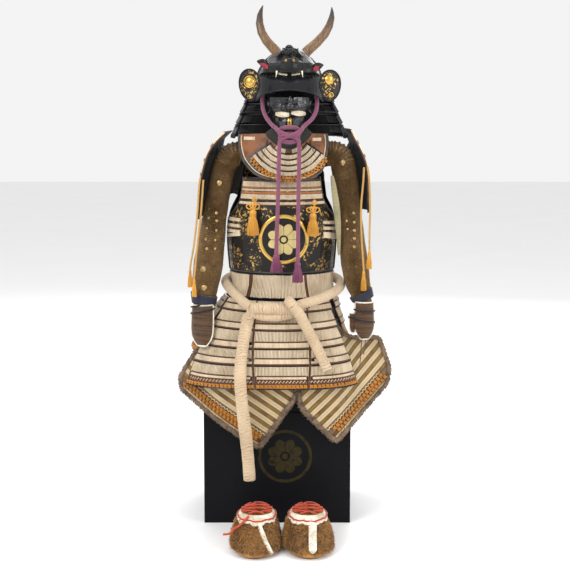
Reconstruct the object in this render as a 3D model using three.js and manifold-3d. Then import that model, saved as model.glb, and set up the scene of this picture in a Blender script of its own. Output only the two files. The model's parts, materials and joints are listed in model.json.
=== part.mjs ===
// Samurai armour on its stand and storage box.
// Millimetres, +Z up. The armour faces -Y and +X is on the viewer's right.
// The origin is the centre of the storage box's underside.

import * as THREE from "three";
import { mergeVertices } from "three/addons/utils/BufferGeometryUtils.js";
import Module from "manifold-3d";

const wasm = await Module();
wasm.setup();

// ---------------------------------------------------------------- driving dimensions

const SEAM = 0.4;               // gap between pieces that touch
const CLOTH = 2.4;              // sleeves, leather-faced sheets
const IRON = 2.2;               // helmet plates, mask
const LAME = 3;                 // laced lames with their lacing

const BOX = { width: 448, depth: 360, height: 412, lid: 62, board: 12, lidBoard: 8, lap: 3 };
const BODY_X = 14;              // the body armour's middle stands right of the box's middle
const HELMET_X = 37;            // the helmet sits a little further right
const ARMOUR_Y = -16;           // the armour stands forward of the box's middle

// Body sections: half width, depth in front of the middle and depth behind it.
const CUIRASS_SECTIONS = [
  { z: 768, half: 160, front: 126, back: 104 },
  { z: 822, half: 165, front: 142, back: 112 },
  { z: 880, half: 167, front: 150, back: 118 },
  { z: 945, half: 163, front: 148, back: 122 },
  { z: 1005, half: 156, front: 134, back: 120 },
  { z: 1059, half: 148, front: 116, back: 112 },
  { z: 1116, half: 140, front: 96, back: 96 },
];
const WAIST_SECTIONS = [
  { z: 694, left: 164, right: 164, front: 146, back: 122 },
  { z: 728, left: 153, right: 156, front: 134, back: 112 },
  { z: 765, left: 160, right: 160, front: 126, back: 104 },
];
// The skirt is squarer towards its foot: square is the power of its rounded-square section.
const SKIRT_SECTIONS = [
  { z: 437, left: 312, right: 246, front: 250, back: 232, square: 3.4 },
  { z: 500, left: 294, right: 230, front: 231, back: 205, square: 2.9 },
  { z: 570, left: 262, right: 206, front: 204, back: 178, square: 2.3 },
  { z: 640, left: 216, right: 184, front: 174, back: 146, square: 2 },
  { z: 690, left: 176, right: 170, front: 150, back: 126, square: 2 },
];
const SKIRT_FEET = [437, 506, 552, 604, 655]; // the foot of each lame
const LAME_SHOWN = 0.94;        // the share of a lame's height below the next one's foot
const SKIRT_STEP = 4;           // each lame's foot stands this far out

// Skirt panels: where each starts and ends round the body at its head and at its foot, in degrees
// from the front, the height of its foot, and how far it hangs inside the front panels' line.
const SKIRT_PANELS = [
  { name: "skirt_panel_1", head: [-28, 28], foot: [-17.5, 17.5], z: 437, inset: 0 },
  { name: "skirt_panel_2", head: [-68, -28.6], foot: [-60, -18], z: 437, inset: 0 },
  { name: "skirt_panel_3", head: [28.6, 60], foot: [18, 54], z: 437, inset: 0 },
  { name: "skirt_panel_4", head: [-120, -71], foot: [-120, -67], z: 524, inset: 8 },
  { name: "skirt_panel_5", head: [67, 120], foot: [71, 120], z: 524, inset: 8 },
  { name: "skirt_panel_6", head: [-179.5, -121], foot: [-179.5, -121], z: 437, inset: 0 },
  { name: "skirt_panel_7", head: [121, 179.5], foot: [121, 179.5], z: 437, inset: 0 },
];

const BOWL = { half: 104, depth: 122, rise: 112, foot: 1330 };
const NECK_GUARD = { top: 1344.5, foot: 1172, topHalf: 104, footHalf: 177, topDepth: 122, footDepth: 205 };
const VISOR = { rim: 15, middleFoot: 1323, endFoot: 1289, reach: 152, half: 103, span: 72 };
const MASK = { half: 75, depth: 78, top: 1299, chin: 1201, middleY: -58 };
const CORD = { radius: 6, sides: 8 };
const BELT_RADIUS = 15;
const SHOE_WALL = 4;

// ---------------------------------------------------------------- small helpers

const group = new THREE.Group();
const bodyGroup = new THREE.Group();
const helmetGroup = new THREE.Group();
bodyGroup.position.set(BODY_X, ARMOUR_Y, 0);
helmetGroup.position.set(HELMET_X, ARMOUR_Y, 0);
group.add(bodyGroup, helmetGroup);

const material = (color, roughness, metalness = 0) =>
  new THREE.MeshStandardMaterial({ color, roughness, metalness });

const FINISH = {
  lacquer: () => material(0x14110f, 0.25),
  iron: () => material(0x1b1a1c, 0.35, 0.6),
  boxLacquer: () => material(0x121014, 0.35),
  wood: () => material(0x6d5138, 0.6),
  horn: () => material(0x7a5a33, 0.45),
  gilt: () => material(0xc09a4c, 0.35, 0.8),
  leather: () => material(0x8b5635, 0.6),
  lacing: () => material(0xe8d9be, 0.8),
  mail: () => material(0x4a3520, 0.7),
  cord: () => material(0x8e4a68, 0.8),
  tassel: () => material(0xd9a347, 0.8),
  belt: () => material(0xebdcc0, 0.85),
  fur: () => material(0x9c7b4a, 0.95),
};

function addPiece(name, geometry, finish, parent = group) {
  const mesh = new THREE.Mesh(geometry, finish());
  mesh.name = name;
  parent.add(mesh);
  return mesh;
}

const vec = (x, y, z) => new THREE.Vector3(x, y, z);
const radians = THREE.MathUtils.degToRad;
const lerp = THREE.MathUtils.lerp;
const smooth = THREE.MathUtils.smoothstep;
const bump = (x, middle, reach) => Math.exp(-(((x - middle) / reach) ** 2));
const range = (count) => Array.from({ length: count }, (_, index) => index);

// A row of a table of sections at any height or length, on a smooth curve through its rows.
function sectionAt(table, key, at) {
  const last = table.length - 1;
  const clamped = Math.min(Math.max(at, table[0][key]), table[last][key]);
  let low = 0;
  while (low < last - 1 && clamped > table[low + 1][key]) low += 1;
  const t = (clamped - table[low][key]) / (table[low + 1][key] - table[low][key]);
  const rows = [Math.max(low - 1, 0), low, low + 1, Math.min(low + 2, last)].map((row) => table[row]);
  const section = {};
  for (const column of Object.keys(table[0])) {
    const [a, b, c, d] = rows.map((row) => row[column]);
    const curve = (c - a) * t + (2 * a - 5 * b + 4 * c - d) * t * t + (3 * b - a - 3 * c + d) * t * t * t;
    section[column] = b + 0.5 * curve;
  }
  section[key] = clamped;
  return section;
}

// A point on a body section, at an angle from the front.
function bodyPoint(section, degrees, out = 0) {
  const angle = radians(degrees);
  const side = Math.sin(angle) < 0 ? section.left ?? section.half : section.right ?? section.half;
  const depth = Math.cos(angle) > 0 ? section.front : section.back;
  return vec((side + out) * Math.sin(angle), -(depth + out) * Math.cos(angle), section.z);
}

// A point on a skirt section, in a direction given by its angle from the front.
function skirtPoint(section, degrees, out = 0) {
  const angle = radians(degrees);
  const half = Math.sin(angle) < 0 ? section.left : section.right;
  const depth = Math.cos(angle) > 0 ? section.front : section.back;
  const across = Math.abs(Math.sin(angle) / half) ** section.square;
  const away = Math.abs(Math.cos(angle) / depth) ** section.square;
  const reach = (across + away) ** (-1 / section.square) + out;
  return vec(reach * Math.sin(angle), -reach * Math.cos(angle), section.z);
}

// ---------------------------------------------------------------- closed solids

function geometryFrom(points, triangles) {
  const geometry = new THREE.BufferGeometry();
  const flat = points.flatMap((point) => [point.x, point.y, point.z]);
  geometry.setAttribute("position", new THREE.Float32BufferAttribute(flat, 3));
  geometry.setIndex(triangles.flat());
  return closedSolid(geometry);
}

// Merges shared vertices, drops empty triangles and turns the faces out.
function closedSolid(source) {
  source.deleteAttribute("normal");
  source.deleteAttribute("uv");
  const geometry = mergeVertices(source, 1e-3);
  const place = geometry.getAttribute("position");
  const corner = (index) => vec(place.getX(index), place.getY(index), place.getZ(index));
  const kept = [];
  let volume = 0;
  for (let at = 0; at < geometry.index.count; at += 3) {
    const [a, b, c] = [0, 1, 2].map((step) => geometry.index.getX(at + step));
    if (a === b || b === c || c === a) continue;
    kept.push(a, b, c);
    volume += corner(a).dot(corner(b).cross(corner(c)));
  }
  if (volume < 0) kept.reverse();
  geometry.setIndex(kept);
  geometry.computeVertexNormals();
  return geometry;
}

// A wall between two grids of points of the same size; a wrapped grid closes round on itself.
function wallBetween(outer, inner, wrap = false) {
  const rows = outer.length;
  const columns = outer[0].length;
  const points = [...outer.flat(), ...inner.flat()];
  const at = (side, row, column) => side * rows * columns + row * columns + (column % columns);
  const triangles = [];
  const quad = (a, b, c, d) => triangles.push([a, b, c], [a, c, d]);
  const across = wrap ? columns : columns - 1;
  for (let row = 0; row < rows - 1; row += 1) {
    for (let column = 0; column < across; column += 1) {
      quad(at(0, row, column), at(0, row, column + 1), at(0, row + 1, column + 1), at(0, row + 1, column));
      quad(at(1, row, column), at(1, row + 1, column), at(1, row + 1, column + 1), at(1, row, column + 1));
    }
  }
  const last = rows - 1;
  for (let column = 0; column < across; column += 1) {
    quad(at(0, 0, column), at(1, 0, column), at(1, 0, column + 1), at(0, 0, column + 1));
    quad(at(0, last, column), at(0, last, column + 1), at(1, last, column + 1), at(1, last, column));
  }
  for (let row = 0; row < rows - 1 && !wrap; row += 1) {
    quad(at(0, row, 0), at(0, row + 1, 0), at(1, row + 1, 0), at(1, row, 0));
    const end = columns - 1;
    quad(at(0, row, end), at(1, row, end), at(1, row + 1, end), at(0, row + 1, end));
  }
  return geometryFrom(points, triangles);
}

// A wall whose outer face is the grid and whose inner face is moved towards a target.
function wallTowards(outer, thickness, target, wrap = false) {
  const inset = (point) => {
    const step = target(point).sub(point).normalize().multiplyScalar(thickness);
    return point.clone().add(step);
  };
  return wallBetween(outer, outer.map((row) => row.map(inset)), wrap);
}

const towardsAxis = (x = 0, y = 0) => (point) => vec(x, y, point.z);

// A solid through rings of points, closed at both ends by a fan.
function ringSolid(rings) {
  const count = rings[0].length;
  const points = rings.flat();
  const triangles = [];
  for (let ring = 0; ring < rings.length - 1; ring += 1) {
    for (let at = 0; at < count; at += 1) {
      const next = (at + 1) % count;
      const [a, b] = [ring * count + at, ring * count + next];
      triangles.push([a, b, b + count], [a, b + count, a + count]);
    }
  }
  const middleOf = (ring) => ring.reduce((sum, point) => sum.add(point), vec(0, 0, 0)).divideScalar(count);
  const last = (rings.length - 1) * count;
  points.push(middleOf(rings[0]), middleOf(rings[rings.length - 1]));
  for (let at = 0; at < count; at += 1) {
    const next = (at + 1) % count;
    triangles.push([points.length - 2, next, at], [points.length - 1, last + at, last + next]);
  }
  return geometryFrom(points, triangles);
}

// A cord: a round section drawn along a smooth curve through hand-set points.
function cordSolid(route, radius = CORD.radius, steps = 40, sides = CORD.sides) {
  const curve = new THREE.CatmullRomCurve3(route.map((point) => vec(...point)));
  const section = new THREE.Shape(range(sides).map((side) => {
    const angle = (2 * Math.PI * side) / sides;
    return new THREE.Vector2(radius * Math.cos(angle), radius * Math.sin(angle));
  }));
  return closedSolid(new THREE.ExtrudeGeometry(section, { steps, extrudePath: curve, curveSegments: 1 }));
}

// A tapered round bar through rows of { x, y, z, across, deep }, its rings square to its run in X and Z.
function ringsAlong(rows, count = 12, grow = 0) {
  return rows.map((row, index) => {
    const before = rows[Math.max(index - 1, 0)];
    const after = rows[Math.min(index + 1, rows.length - 1)];
    const run = vec(after.x - before.x, 0, after.z - before.z).normalize();
    const sideways = vec(run.z, 0, -run.x);
    return range(count).map((side) => {
      const angle = (2 * Math.PI * side) / count;
      return vec(row.x, row.y, row.z)
        .addScaledVector(sideways, (row.across + grow) * Math.cos(angle))
        .add(vec(0, (row.deep + grow) * Math.sin(angle), 0));
    });
  });
}

function boxSolid(width, depth, height, x, y, z) {
  return closedSolid(new THREE.BoxGeometry(width, depth, height).translate(x, y, z + height / 2));
}

function latheSolid(profile, segments = 16) {
  const points = profile.map(([radius, z]) => new THREE.Vector2(radius, z));
  return closedSolid(new THREE.LatheGeometry(points, segments).rotateX(Math.PI / 2));
}

// ---------------------------------------------------------------- joins and cuts

function toManifold(geometry) {
  const place = geometry.getAttribute("position");
  const vertProperties = new Float32Array(place.array);
  const triVerts = new Uint32Array(geometry.index.array);
  return new wasm.Manifold(new wasm.Mesh({ numProp: 3, vertProperties, triVerts }));
}

function fromManifold(solid) {
  const mesh = solid.getMesh();
  const geometry = new THREE.BufferGeometry();
  geometry.setAttribute("position", new THREE.BufferAttribute(mesh.vertProperties, 3));
  geometry.setIndex(new THREE.BufferAttribute(mesh.triVerts, 1));
  return closedSolid(geometry);
}

const joined = (...parts) => fromManifold(parts.map(toManifold).reduce((sum, part) => sum.add(part)));
const cut = (part, tool) => fromManifold(toManifold(part).subtract(toManifold(tool)));

// ---------------------------------------------------------------- storage box and stand

function buildBox() {
  const { width, depth, height, lid, board, lidBoard, lap } = BOX;
  const bodyHeight = height - lidBoard - SEAM;
  const inset = lidBoard + SEAM;
  const outside = boxSolid(width - 2 * inset, depth - 2 * inset, bodyHeight, 0, 0, 0);
  const hollowWidth = width - 2 * inset - 2 * board;
  const hollowDepth = depth - 2 * inset - 2 * board;
  const hollow = boxSolid(hollowWidth, hollowDepth, height, 0, 0, board);
  const plinth = boxSolid(width, depth, height - lid - lap, 0, 0, 0);
  const shell = cut(joined(outside, plinth), hollow);
  addPiece("storage_box_body", shell, FINISH.boxLacquer);

  const cap = boxSolid(width, depth, lid, 0, 0, height - lid);
  const under = boxSolid(width - 2 * lidBoard, depth - 2 * lidBoard, lid, 0, 0, height - lid - lidBoard);
  addPiece("storage_box_lid", cut(cap, under), FINISH.boxLacquer);
}

const STAND = {
  foot: { width: 190, depth: 190, height: 24 },
  post: 40,
  bar: { z: 1112, width: 208, height: 26, depth: 40 },
  head: { radius: 44, foot: 1240, top: 1437 },
};

function buildStand() {
  const { foot, post, bar, head } = STAND;
  const base = BOX.height + SEAM;
  const footBlock = boxSolid(foot.width, foot.depth, foot.height, BODY_X, ARMOUR_Y, base);
  const upright = boxSolid(post, post, bar.z + 6 - base, BODY_X, ARMOUR_Y, base);
  const shoulderBar = boxSolid(bar.width, bar.depth, bar.height, BODY_X, ARMOUR_Y, bar.z - bar.height);
  const neckWidth = HELMET_X - BODY_X + post;
  const neckX = (HELMET_X + BODY_X) / 2;
  const shelf = boxSolid(neckWidth, post, 20, neckX, ARMOUR_Y, bar.z - 4);
  const neck = boxSolid(post, post, head.foot - bar.z, HELMET_X, ARMOUR_Y, bar.z);
  const knob = latheSolid([
    [0, head.foot - 20], [head.radius, head.foot], [head.radius, head.top - 50],
    [head.radius * 0.8, head.top - 18], [head.radius * 0.4, head.top - 2], [0, head.top],
  ]).translate(HELMET_X, ARMOUR_Y, 0);
  const stand = joined(footBlock, upright, shoulderBar, shelf, neck, closedSolid(knob));
  addPiece("stand", stand, FINISH.wood);
}

// ---------------------------------------------------------------- body armour

// Half the angle that the front or back plate covers at a height: wide below the arms, narrow above.
const armholeSpan = (z, full, chest) => lerp(full, chest, smooth(z, 915, 985));

function shellGrid({ bottom, top, rows, columns, middle, full, chest, neckDrop = 0 }) {
  return range(rows + 1).map((row) => {
    return range(columns + 1).map((column) => {
      const across = (2 * column) / columns - 1;
      const crest = top - neckDrop * bump(across, 0, 0.5);
      const z = lerp(bottom, crest, row / rows);
      const section = sectionAt(CUIRASS_SECTIONS, "z", z);
      return bodyPoint(section, middle + across * armholeSpan(z, full, chest));
    });
  });
}

function buildCuirass() {
  const front = shellGrid({ bottom: 768, top: 1059, rows: 9, columns: 16, middle: 0, full: 89.6, chest: 53 });
  const back = shellGrid({
    bottom: 768, top: 1100, rows: 9, columns: 16, middle: 180, full: 89.6, chest: 62, neckDrop: 30,
  });
  addPiece("cuirass_front", wallTowards(front, LAME, towardsAxis()), FINISH.lacquer, bodyGroup);
  addPiece("cuirass_back", wallTowards(back, LAME, towardsAxis()), FINISH.lacquer, bodyGroup);
}

const STRAP = { inner: 52, outer: 88 };

// A shoulder strap: from the back plate's head, over the stand's bar, down to the chest plate's head.
const STRAP_RUN = [
  { y: 78, z: 1104 },
  { y: 60, z: 1116.5 },
  { y: 28, z: 1120 },
  { y: -10, z: 1119 },
  { y: -46, z: 1110 },
  { y: -74, z: 1092 },
  { y: -96, z: 1067 },
];

function buildStraps() {
  for (const [name, side] of [["shoulder_strap_left", -1], ["shoulder_strap_right", 1]]) {
    const row = (lift) => STRAP_RUN.map(({ y, z }, index) => {
      const next = STRAP_RUN[Math.min(index + 1, STRAP_RUN.length - 1)];
      const last = STRAP_RUN[Math.max(index - 1, 0)];
      const run = vec(0, next.y - last.y, next.z - last.z).normalize();
      const up = vec(0, run.z, -run.y).multiplyScalar(lift);
      const across = [STRAP.inner, (STRAP.inner + STRAP.outer) / 2, STRAP.outer];
      return across.map((x) => vec(side * x, y, z).add(up));
    });
    addPiece(name, wallBetween(row(LAME + 2), row(1)), FINISH.leather, bodyGroup);
  }
}

function buildWaistLacing() {
  const angles = range(32).map((step) => (360 * step) / 32 - 180);
  const heights = [694, 711, 728, 746, 765];
  const grid = heights.map((z) => angles.map((angle) => bodyPoint(sectionAt(WAIST_SECTIONS, "z", z), angle)));
  addPiece("waist_lacing", wallTowards(grid, CLOTH, towardsAxis(), true), FINISH.lacing, bodyGroup);
}

function buildSkirt() {
  const top = SKIRT_SECTIONS[SKIRT_SECTIONS.length - 1].z;
  for (const { name, head, foot, z, inset } of SKIRT_PANELS) {
    const columns = Math.round((foot[1] - foot[0]) / 8) + 1;
    const feet = [z, ...SKIRT_FEET.filter((level) => level > z)];
    const levels = feet.flatMap((level, lame) => {
      const next = feet[lame + 1] ?? top;
      return [
        { level, step: SKIRT_STEP },
        { level: lerp(level, next, LAME_SHOWN), step: SKIRT_STEP * (1 - LAME_SHOWN) },
      ];
    });
    const grid = levels.map(({ level, step }) => {
      const share = (level - z) / (top - z);
      const section = sectionAt(SKIRT_SECTIONS, "z", level);
      const from = lerp(foot[0], head[0], share);
      const to = lerp(foot[1], head[1], share);
      const out = step - inset * (1 - share);
      return range(columns + 1).map((column) => skirtPoint(section, lerp(from, to, column / columns), out));
    });
    addPiece(name, wallTowards(grid, LAME, towardsAxis()), FINISH.lacing, bodyGroup);
  }
}

// ---------------------------------------------------------------- throat guard

// The bib's outer edge: distance from the neck's middle at angles from straight down.
const BIB = { x: 21, z: 1193, neck: 48, topAngle: 88 };
const BIB_OUTLINE = [
  { angle: -88, reach: 153 },
  { angle: -60, reach: 163 },
  { angle: -40, reach: 161 },
  { angle: -20, reach: 150 },
  { angle: 0, reach: 143 },
  { angle: 20, reach: 150 },
  { angle: 40, reach: 154 },
  { angle: 60, reach: 134 },
  { angle: 88, reach: 118 },
];
const BIB_LAMES = { rows: 5, first: 60, span: 58, edge: 8 };

// The bib's face stands on a curve round the chest and leans out towards its foot.
function bibPoint(angle, reach, out) {
  const x = reach * Math.sin(radians(angle));
  const z = BIB.z - reach * Math.cos(radians(angle));
  const lean = 0.36 * (BIB.z - z);
  const round = 0.0021 * x * x;
  return vec(BIB.x + x, -(102 + lean - round + out), z);
}

function buildThroatGuard() {
  const angles = range(23).map((step) => lerp(-BIB.topAngle, BIB.topAngle, step / 22));
  const reachAt = (angle) => sectionAt(BIB_OUTLINE, "angle", angle).reach;
  const plate = (out) => range(5).map((ring) => angles.map((angle) => {
    const neck = BIB.neck + 24 * (Math.abs(angle) / BIB.topAngle) ** 3;
    return bibPoint(angle, lerp(neck, reachAt(angle), ring / 4), out);
  }));
  addPiece("throat_guard_plate", wallBetween(plate(CLOTH), plate(0)), FINISH.leather, bodyGroup);

  const steps = range(BIB_LAMES.rows).flatMap((row) => [row, row + 0.9].map((at) => at / BIB_LAMES.rows));
  const spread = range(17).map((step) => lerp(-1, 1, step / 16));
  const lames = (out, stepped) => steps.map((share) => spread.map((side) => {
    const angle = side * lerp(BIB_LAMES.span * 1.1, BIB_LAMES.span, share);
    const reach = lerp(BIB_LAMES.first, reachAt(angle) - BIB_LAMES.edge, share);
    const rise = stepped ? 3 * ((share * BIB_LAMES.rows) % 1) : 0;
    return bibPoint(angle, reach, out + rise);
  }));
  const under = CLOTH + SEAM;
  const wall = wallBetween(lames(under + 2, true), lames(under, false));
  addPiece("throat_guard_lames", wall, FINISH.lacing, bodyGroup);
}

// ---------------------------------------------------------------- thigh guards

// Each guard hangs cornerwise: its foot edge runs from the inner tip up to the outer corner.
// Places are from the armour's middle: x across and z up.
const THIGH_GUARDS = [
  {
    name: "thigh_guard_left", side: -1, tip: [-69, 247], corner: [-327, 428],
    centre: 46, height: 296, flare: 0.04, sideHead: 524,
  },
  {
    name: "thigh_guard_right", side: 1, tip: [164, 266], corner: [342, 446],
    centre: 52, height: 262, flare: 0.48, sideHead: 560,
  },
];
const THIGH_HEAD = 640;
const THIGH_ROWS = 11;
const THIGH_COLUMNS = 10;

// How far in front a thigh guard hangs: flat before the box and bending back past its corners,
// then drawn in behind the skirt and the waist higher up.
function thighDepth(x, z) {
  const past = Math.max(Math.abs(x + BODY_X) - 150, 0);
  const low = 214 - 0.0066 * Math.min(past, 80) ** 2 - 0.62 * Math.max(past - 80, 0);
  const section = sectionAt(SKIRT_SECTIONS, "z", z);
  const half = x < 0 ? section.left : section.right;
  const edge = Math.min(Math.abs(x), 0.92 * half);
  const bend = (1 - (edge / half) ** section.square) ** (1 / section.square);
  const margin = 8 + 16 * (edge / half) ** 4 + 25 * smooth(z, 590, THIGH_HEAD);
  const high = section.front * bend - margin - 0.35 * (Math.abs(x) - edge);
  return lerp(low, Math.min(low, high), smooth(z, 400, 437));
}

// Rows from the foot edge up, level with it. The foot edge's corner is rounded, the inner side ends
// at the guard's middle, and a column near the outer side ends lower, behind the skirt's edge.
function thighGrid({ side, tip, corner, centre, height, flare, sideHead }) {
  const inner = new THREE.Vector2(...tip);
  const run = new THREE.Vector2(...corner).sub(inner);
  const length = run.length();
  const along = run.clone().normalize();
  const rise = new THREE.Vector2(-side * along.y, side * along.x);
  const heights = range(THIGH_COLUMNS + 1).map((column) => {
    const share = column / THIGH_COLUMNS;
    const head = lerp(THIGH_HEAD, sideHead, smooth(share, 0.2, 0.7));
    const climb = rise.y + along.y * flare * share;
    return Math.min(height, (head - inner.y - along.y * length * share) / climb);
  });
  return range(THIGH_ROWS + 1).map((row) => heights.map((most, column) => {
    const up = (row / THIGH_ROWS) * most;
    const rounding = 24 * (1 - smooth(up, 0, 30));
    const start = Math.max(0, (side * (centre - inner.x - rise.x * up)) / (side * along.x));
    const distance = lerp(start, length - rounding + flare * up, column / THIGH_COLUMNS);
    return inner.clone().addScaledVector(along, distance).addScaledVector(rise, up);
  }));
}

function buildThighGuards() {
  for (const guard of THIGH_GUARDS) {
    const grid = thighGrid(guard);
    const face = (set) => grid.map((line) => line.map(({ x, y }) => vec(x, -thighDepth(x, y) + set, y)));
    addPiece(guard.name, wallBetween(face(0), face(LAME)), FINISH.lacing, bodyGroup);
  }
  const apron = [670, 706, 742].map((z) => range(25).map((step) => {
    return bodyPoint({ z, half: 140, front: 119, back: 119 }, lerp(-75, 75, step / 24));
  }));
  addPiece("thigh_guard_apron", wallTowards(apron, CLOTH, towardsAxis()), FINISH.leather, bodyGroup);
}

// ---------------------------------------------------------------- sleeves and guards

// Sleeve rings from the shoulder opening to the wrist: the ring's middle, its half width across the
// arm and its half depth. Places are from the body armour's middle.
const SLEEVES = [
  {
    name: "sleeve_left",
    rings: [
      { x: -119, y: -20, z: 1122, across: 35, deep: 44 },
      { x: -136, y: -20, z: 1126, across: 36, deep: 46 },
      { x: -156, y: -20, z: 1119, across: 37, deep: 48 },
      { x: -173, y: -21, z: 1096, across: 36, deep: 49 },
      { x: -185, y: -23, z: 1050, across: 35, deep: 49 },
      { x: -198, y: -28, z: 985, across: 35, deep: 49 },
      { x: -206, y: -34, z: 935, across: 35, deep: 49 },
      { x: -216, y: -42, z: 862, across: 40, deep: 50 },
      { x: -226, y: -50, z: 790, across: 44, deep: 48 },
      { x: -233, y: -56, z: 738, across: 41, deep: 44 },
      { x: -239, y: -66, z: 692, across: 34, deep: 34 },
      { x: -240, y: -76, z: 670, across: 30, deep: 24 },
      { x: -241, y: -82, z: 652, across: 29, deep: 18 },
    ],
  },
  {
    name: "sleeve_right",
    rings: [
      { x: 135, y: -20, z: 1126, across: 36, deep: 44 },
      { x: 152, y: -20, z: 1127, across: 37, deep: 46 },
      { x: 171, y: -20, z: 1122, across: 38, deep: 48 },
      { x: 188, y: -21, z: 1099, across: 38, deep: 49 },
      { x: 196, y: -23, z: 1052, across: 38, deep: 49 },
      { x: 203, y: -28, z: 985, across: 37, deep: 49 },
      { x: 208, y: -34, z: 935, across: 37, deep: 49 },
      { x: 216, y: -42, z: 862, across: 38, deep: 50 },
      { x: 225, y: -50, z: 790, across: 41, deep: 48 },
      { x: 233, y: -56, z: 738, across: 38, deep: 44 },
      { x: 243, y: -64, z: 704, across: 31, deep: 33 },
      { x: 251, y: -74, z: 684, across: 24.5, deep: 22 },
      { x: 253, y: -81, z: 664, across: 23, deep: 17 },
    ],
  },
];

function buildSleeves() {
  for (const { name, rings } of SLEEVES) {
    const wall = wallBetween(ringsAlong(rings, 14), ringsAlong(rings, 14, -CLOTH), true);
    addPiece(name, wall, FINISH.mail, bodyGroup);
  }
  // The turned-back cloth that shows along the right sleeve's inner side.
  const fold = [
    { x: 146, z: 1066, wide: 12 }, { x: 151, z: 1010, wide: 20 }, { x: 158, z: 950, wide: 22 },
    { x: 166, z: 880, wide: 16 }, { x: 171, z: 818, wide: 7 },
  ];
  const face = (set) => fold.map(({ x, z, wide }) => range(4).map((step) => {
    return vec(x + (wide * step) / 3, -86 - 3 * Math.sin((Math.PI * step) / 3) + set, z);
  }));
  addPiece("sleeve_lining_right", wallBetween(face(0), face(CLOTH)), FINISH.belt, bodyGroup);
}

// Hand guards: a rounded plate over the back of the hand, open behind and at the wrist. Each leans
// forward over the skirt and turns with the skirt's side.
const HAND_GUARDS = [
  {
    name: "hand_guard_left", x: -242, y: -86, top: 668, foot: 553, wide: 34, deep: 23, lean: 0.62, turn: 0.55,
  },
  {
    name: "hand_guard_right", x: 253, y: -86, top: 677, foot: 568, wide: 29, deep: 23, lean: 0.36, turn: -0.3,
  },
];
const THUMB_GUARD = { x: 217, y: -97, top: 644, foot: 586, wide: 11, deep: 10, lean: 0.36, turn: -0.3 };

function handPlate({ x, y, top, foot, wide, deep, lean, turn }) {
  const grid = range(9).map((row) => {
    const share = row / 8;
    const z = lerp(foot, top, share);
    const tip = Math.sqrt(1 - (1 - Math.min(share / 0.42 + 0.1, 1)) ** 2);
    const round = tip * (1 + 0.06 * Math.sin(Math.PI * share));
    return range(9).map((column) => {
      const angle = radians(lerp(-104, 104, column / 8));
      const across = wide * round * Math.sin(angle);
      const back = deep * round * Math.cos(angle) + lean * (top - z) + turn * across * (1 - share);
      return vec(x + across, y - back, z);
    });
  });
  const inside = (point) => vec(x, y - lean * (top - point.z) + deep, point.z);
  return wallTowards(grid, CLOTH, inside);
}

function buildHandGuards() {
  for (const plate of HAND_GUARDS) {
    const parts = [handPlate(plate)];
    if (plate.x > 0) parts.push(handPlate(THUMB_GUARD));
    addPiece(plate.name, parts.length > 1 ? joined(...parts) : parts[0], FINISH.mail, bodyGroup);
  }
}

// Shoulder guards: laced plates hung outside the arms; their outline is given from the front.
const SHOULDER_GUARDS = [
  {
    name: "shoulder_guard_left",
    outline: [
      { z: 932, x: -251 }, { z: 1000, x: -247 }, { z: 1054, x: -243 }, { z: 1096, x: -233 },
      { z: 1130, x: -221 }, { z: 1158, x: -204 }, { z: 1180, x: -181 }, { z: 1192, x: -168 },
    ],
  },
  {
    name: "shoulder_guard_right",
    outline: [
      { z: 952, x: 262 }, { z: 1010, x: 261 }, { z: 1060, x: 259 }, { z: 1100, x: 254 },
      { z: 1128, x: 243 }, { z: 1156, x: 229 }, { z: 1182, x: 214 }, { z: 1200, x: 206 },
    ],
  },
];
// The back part curves in behind the arm, and less so at the head, beside the neck guard.
const SHOULDER_GUARD = { front: -104, back: 118, rows: 12, bow: 9, turnIn: 50, headTurnIn: 11 };

function buildShoulderGuards() {
  for (const { name, outline } of SHOULDER_GUARDS) {
    const side = Math.sign(outline[0].x);
    const grid = range(SHOULDER_GUARD.rows).map((row) => {
      const share = row / (SHOULDER_GUARD.rows - 1);
      const { x, z } = sectionAt(outline, "z", lerp(outline[0].z, outline[outline.length - 1].z, share));
      const turnIn = lerp(SHOULDER_GUARD.turnIn, SHOULDER_GUARD.headTurnIn, smooth(z, 1115, 1165));
      return range(9).map((column) => {
        const along = column / 8;
        const bow = SHOULDER_GUARD.bow * Math.sin(Math.PI * along);
        const turned = turnIn * smooth(along, 0.35, 1);
        return vec(x + side * (bow - turned), lerp(SHOULDER_GUARD.front, SHOULDER_GUARD.back, along), z);
      });
    });
    const inward = (point) => vec(point.x - side * 100, point.y, point.z - 40);
    addPiece(name, wallTowards(grid, LAME, inward), FINISH.lacquer, bodyGroup);
  }
}

// ---------------------------------------------------------------- helmet

const BOWL_MIDDLE = vec(0, 0, BOWL.foot);

// A point on the bowl: an angle from the front, and a height angle from the rim to the crown.
function bowlPoint(degrees, height, scale = 1) {
  const angle = radians(degrees);
  const level = Math.cos(radians(height)) * scale;
  return vec(
    BOWL.half * level * Math.sin(angle),
    -BOWL.depth * level * Math.cos(angle),
    BOWL.foot + BOWL.rise * Math.sin(radians(height)) * scale,
  );
}

function buildBowl() {
  const angles = range(24).map((step) => (360 * step) / 24);
  const heights = [8, 23, 38, 53, 68, 80];
  const shell = (inset) => heights.map((height) => angles.map((angle) => {
    const point = bowlPoint(angle, height);
    return point.addScaledVector(BOWL_MIDDLE.clone().sub(point).normalize(), inset);
  }));
  const finial = latheSolid([
    [0, 1438.5], [14, 1438.5], [17, 1444], [12, 1446], [13, 1449], [9, 1453], [5, 1456], [0, 1457],
  ], 14);
  const bowl = joined(ringSolid([...shell(IRON).reverse(), ...shell(0)]), finial);
  addPiece("helmet_bowl", bowl, FINISH.iron, helmetGroup);
}

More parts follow.
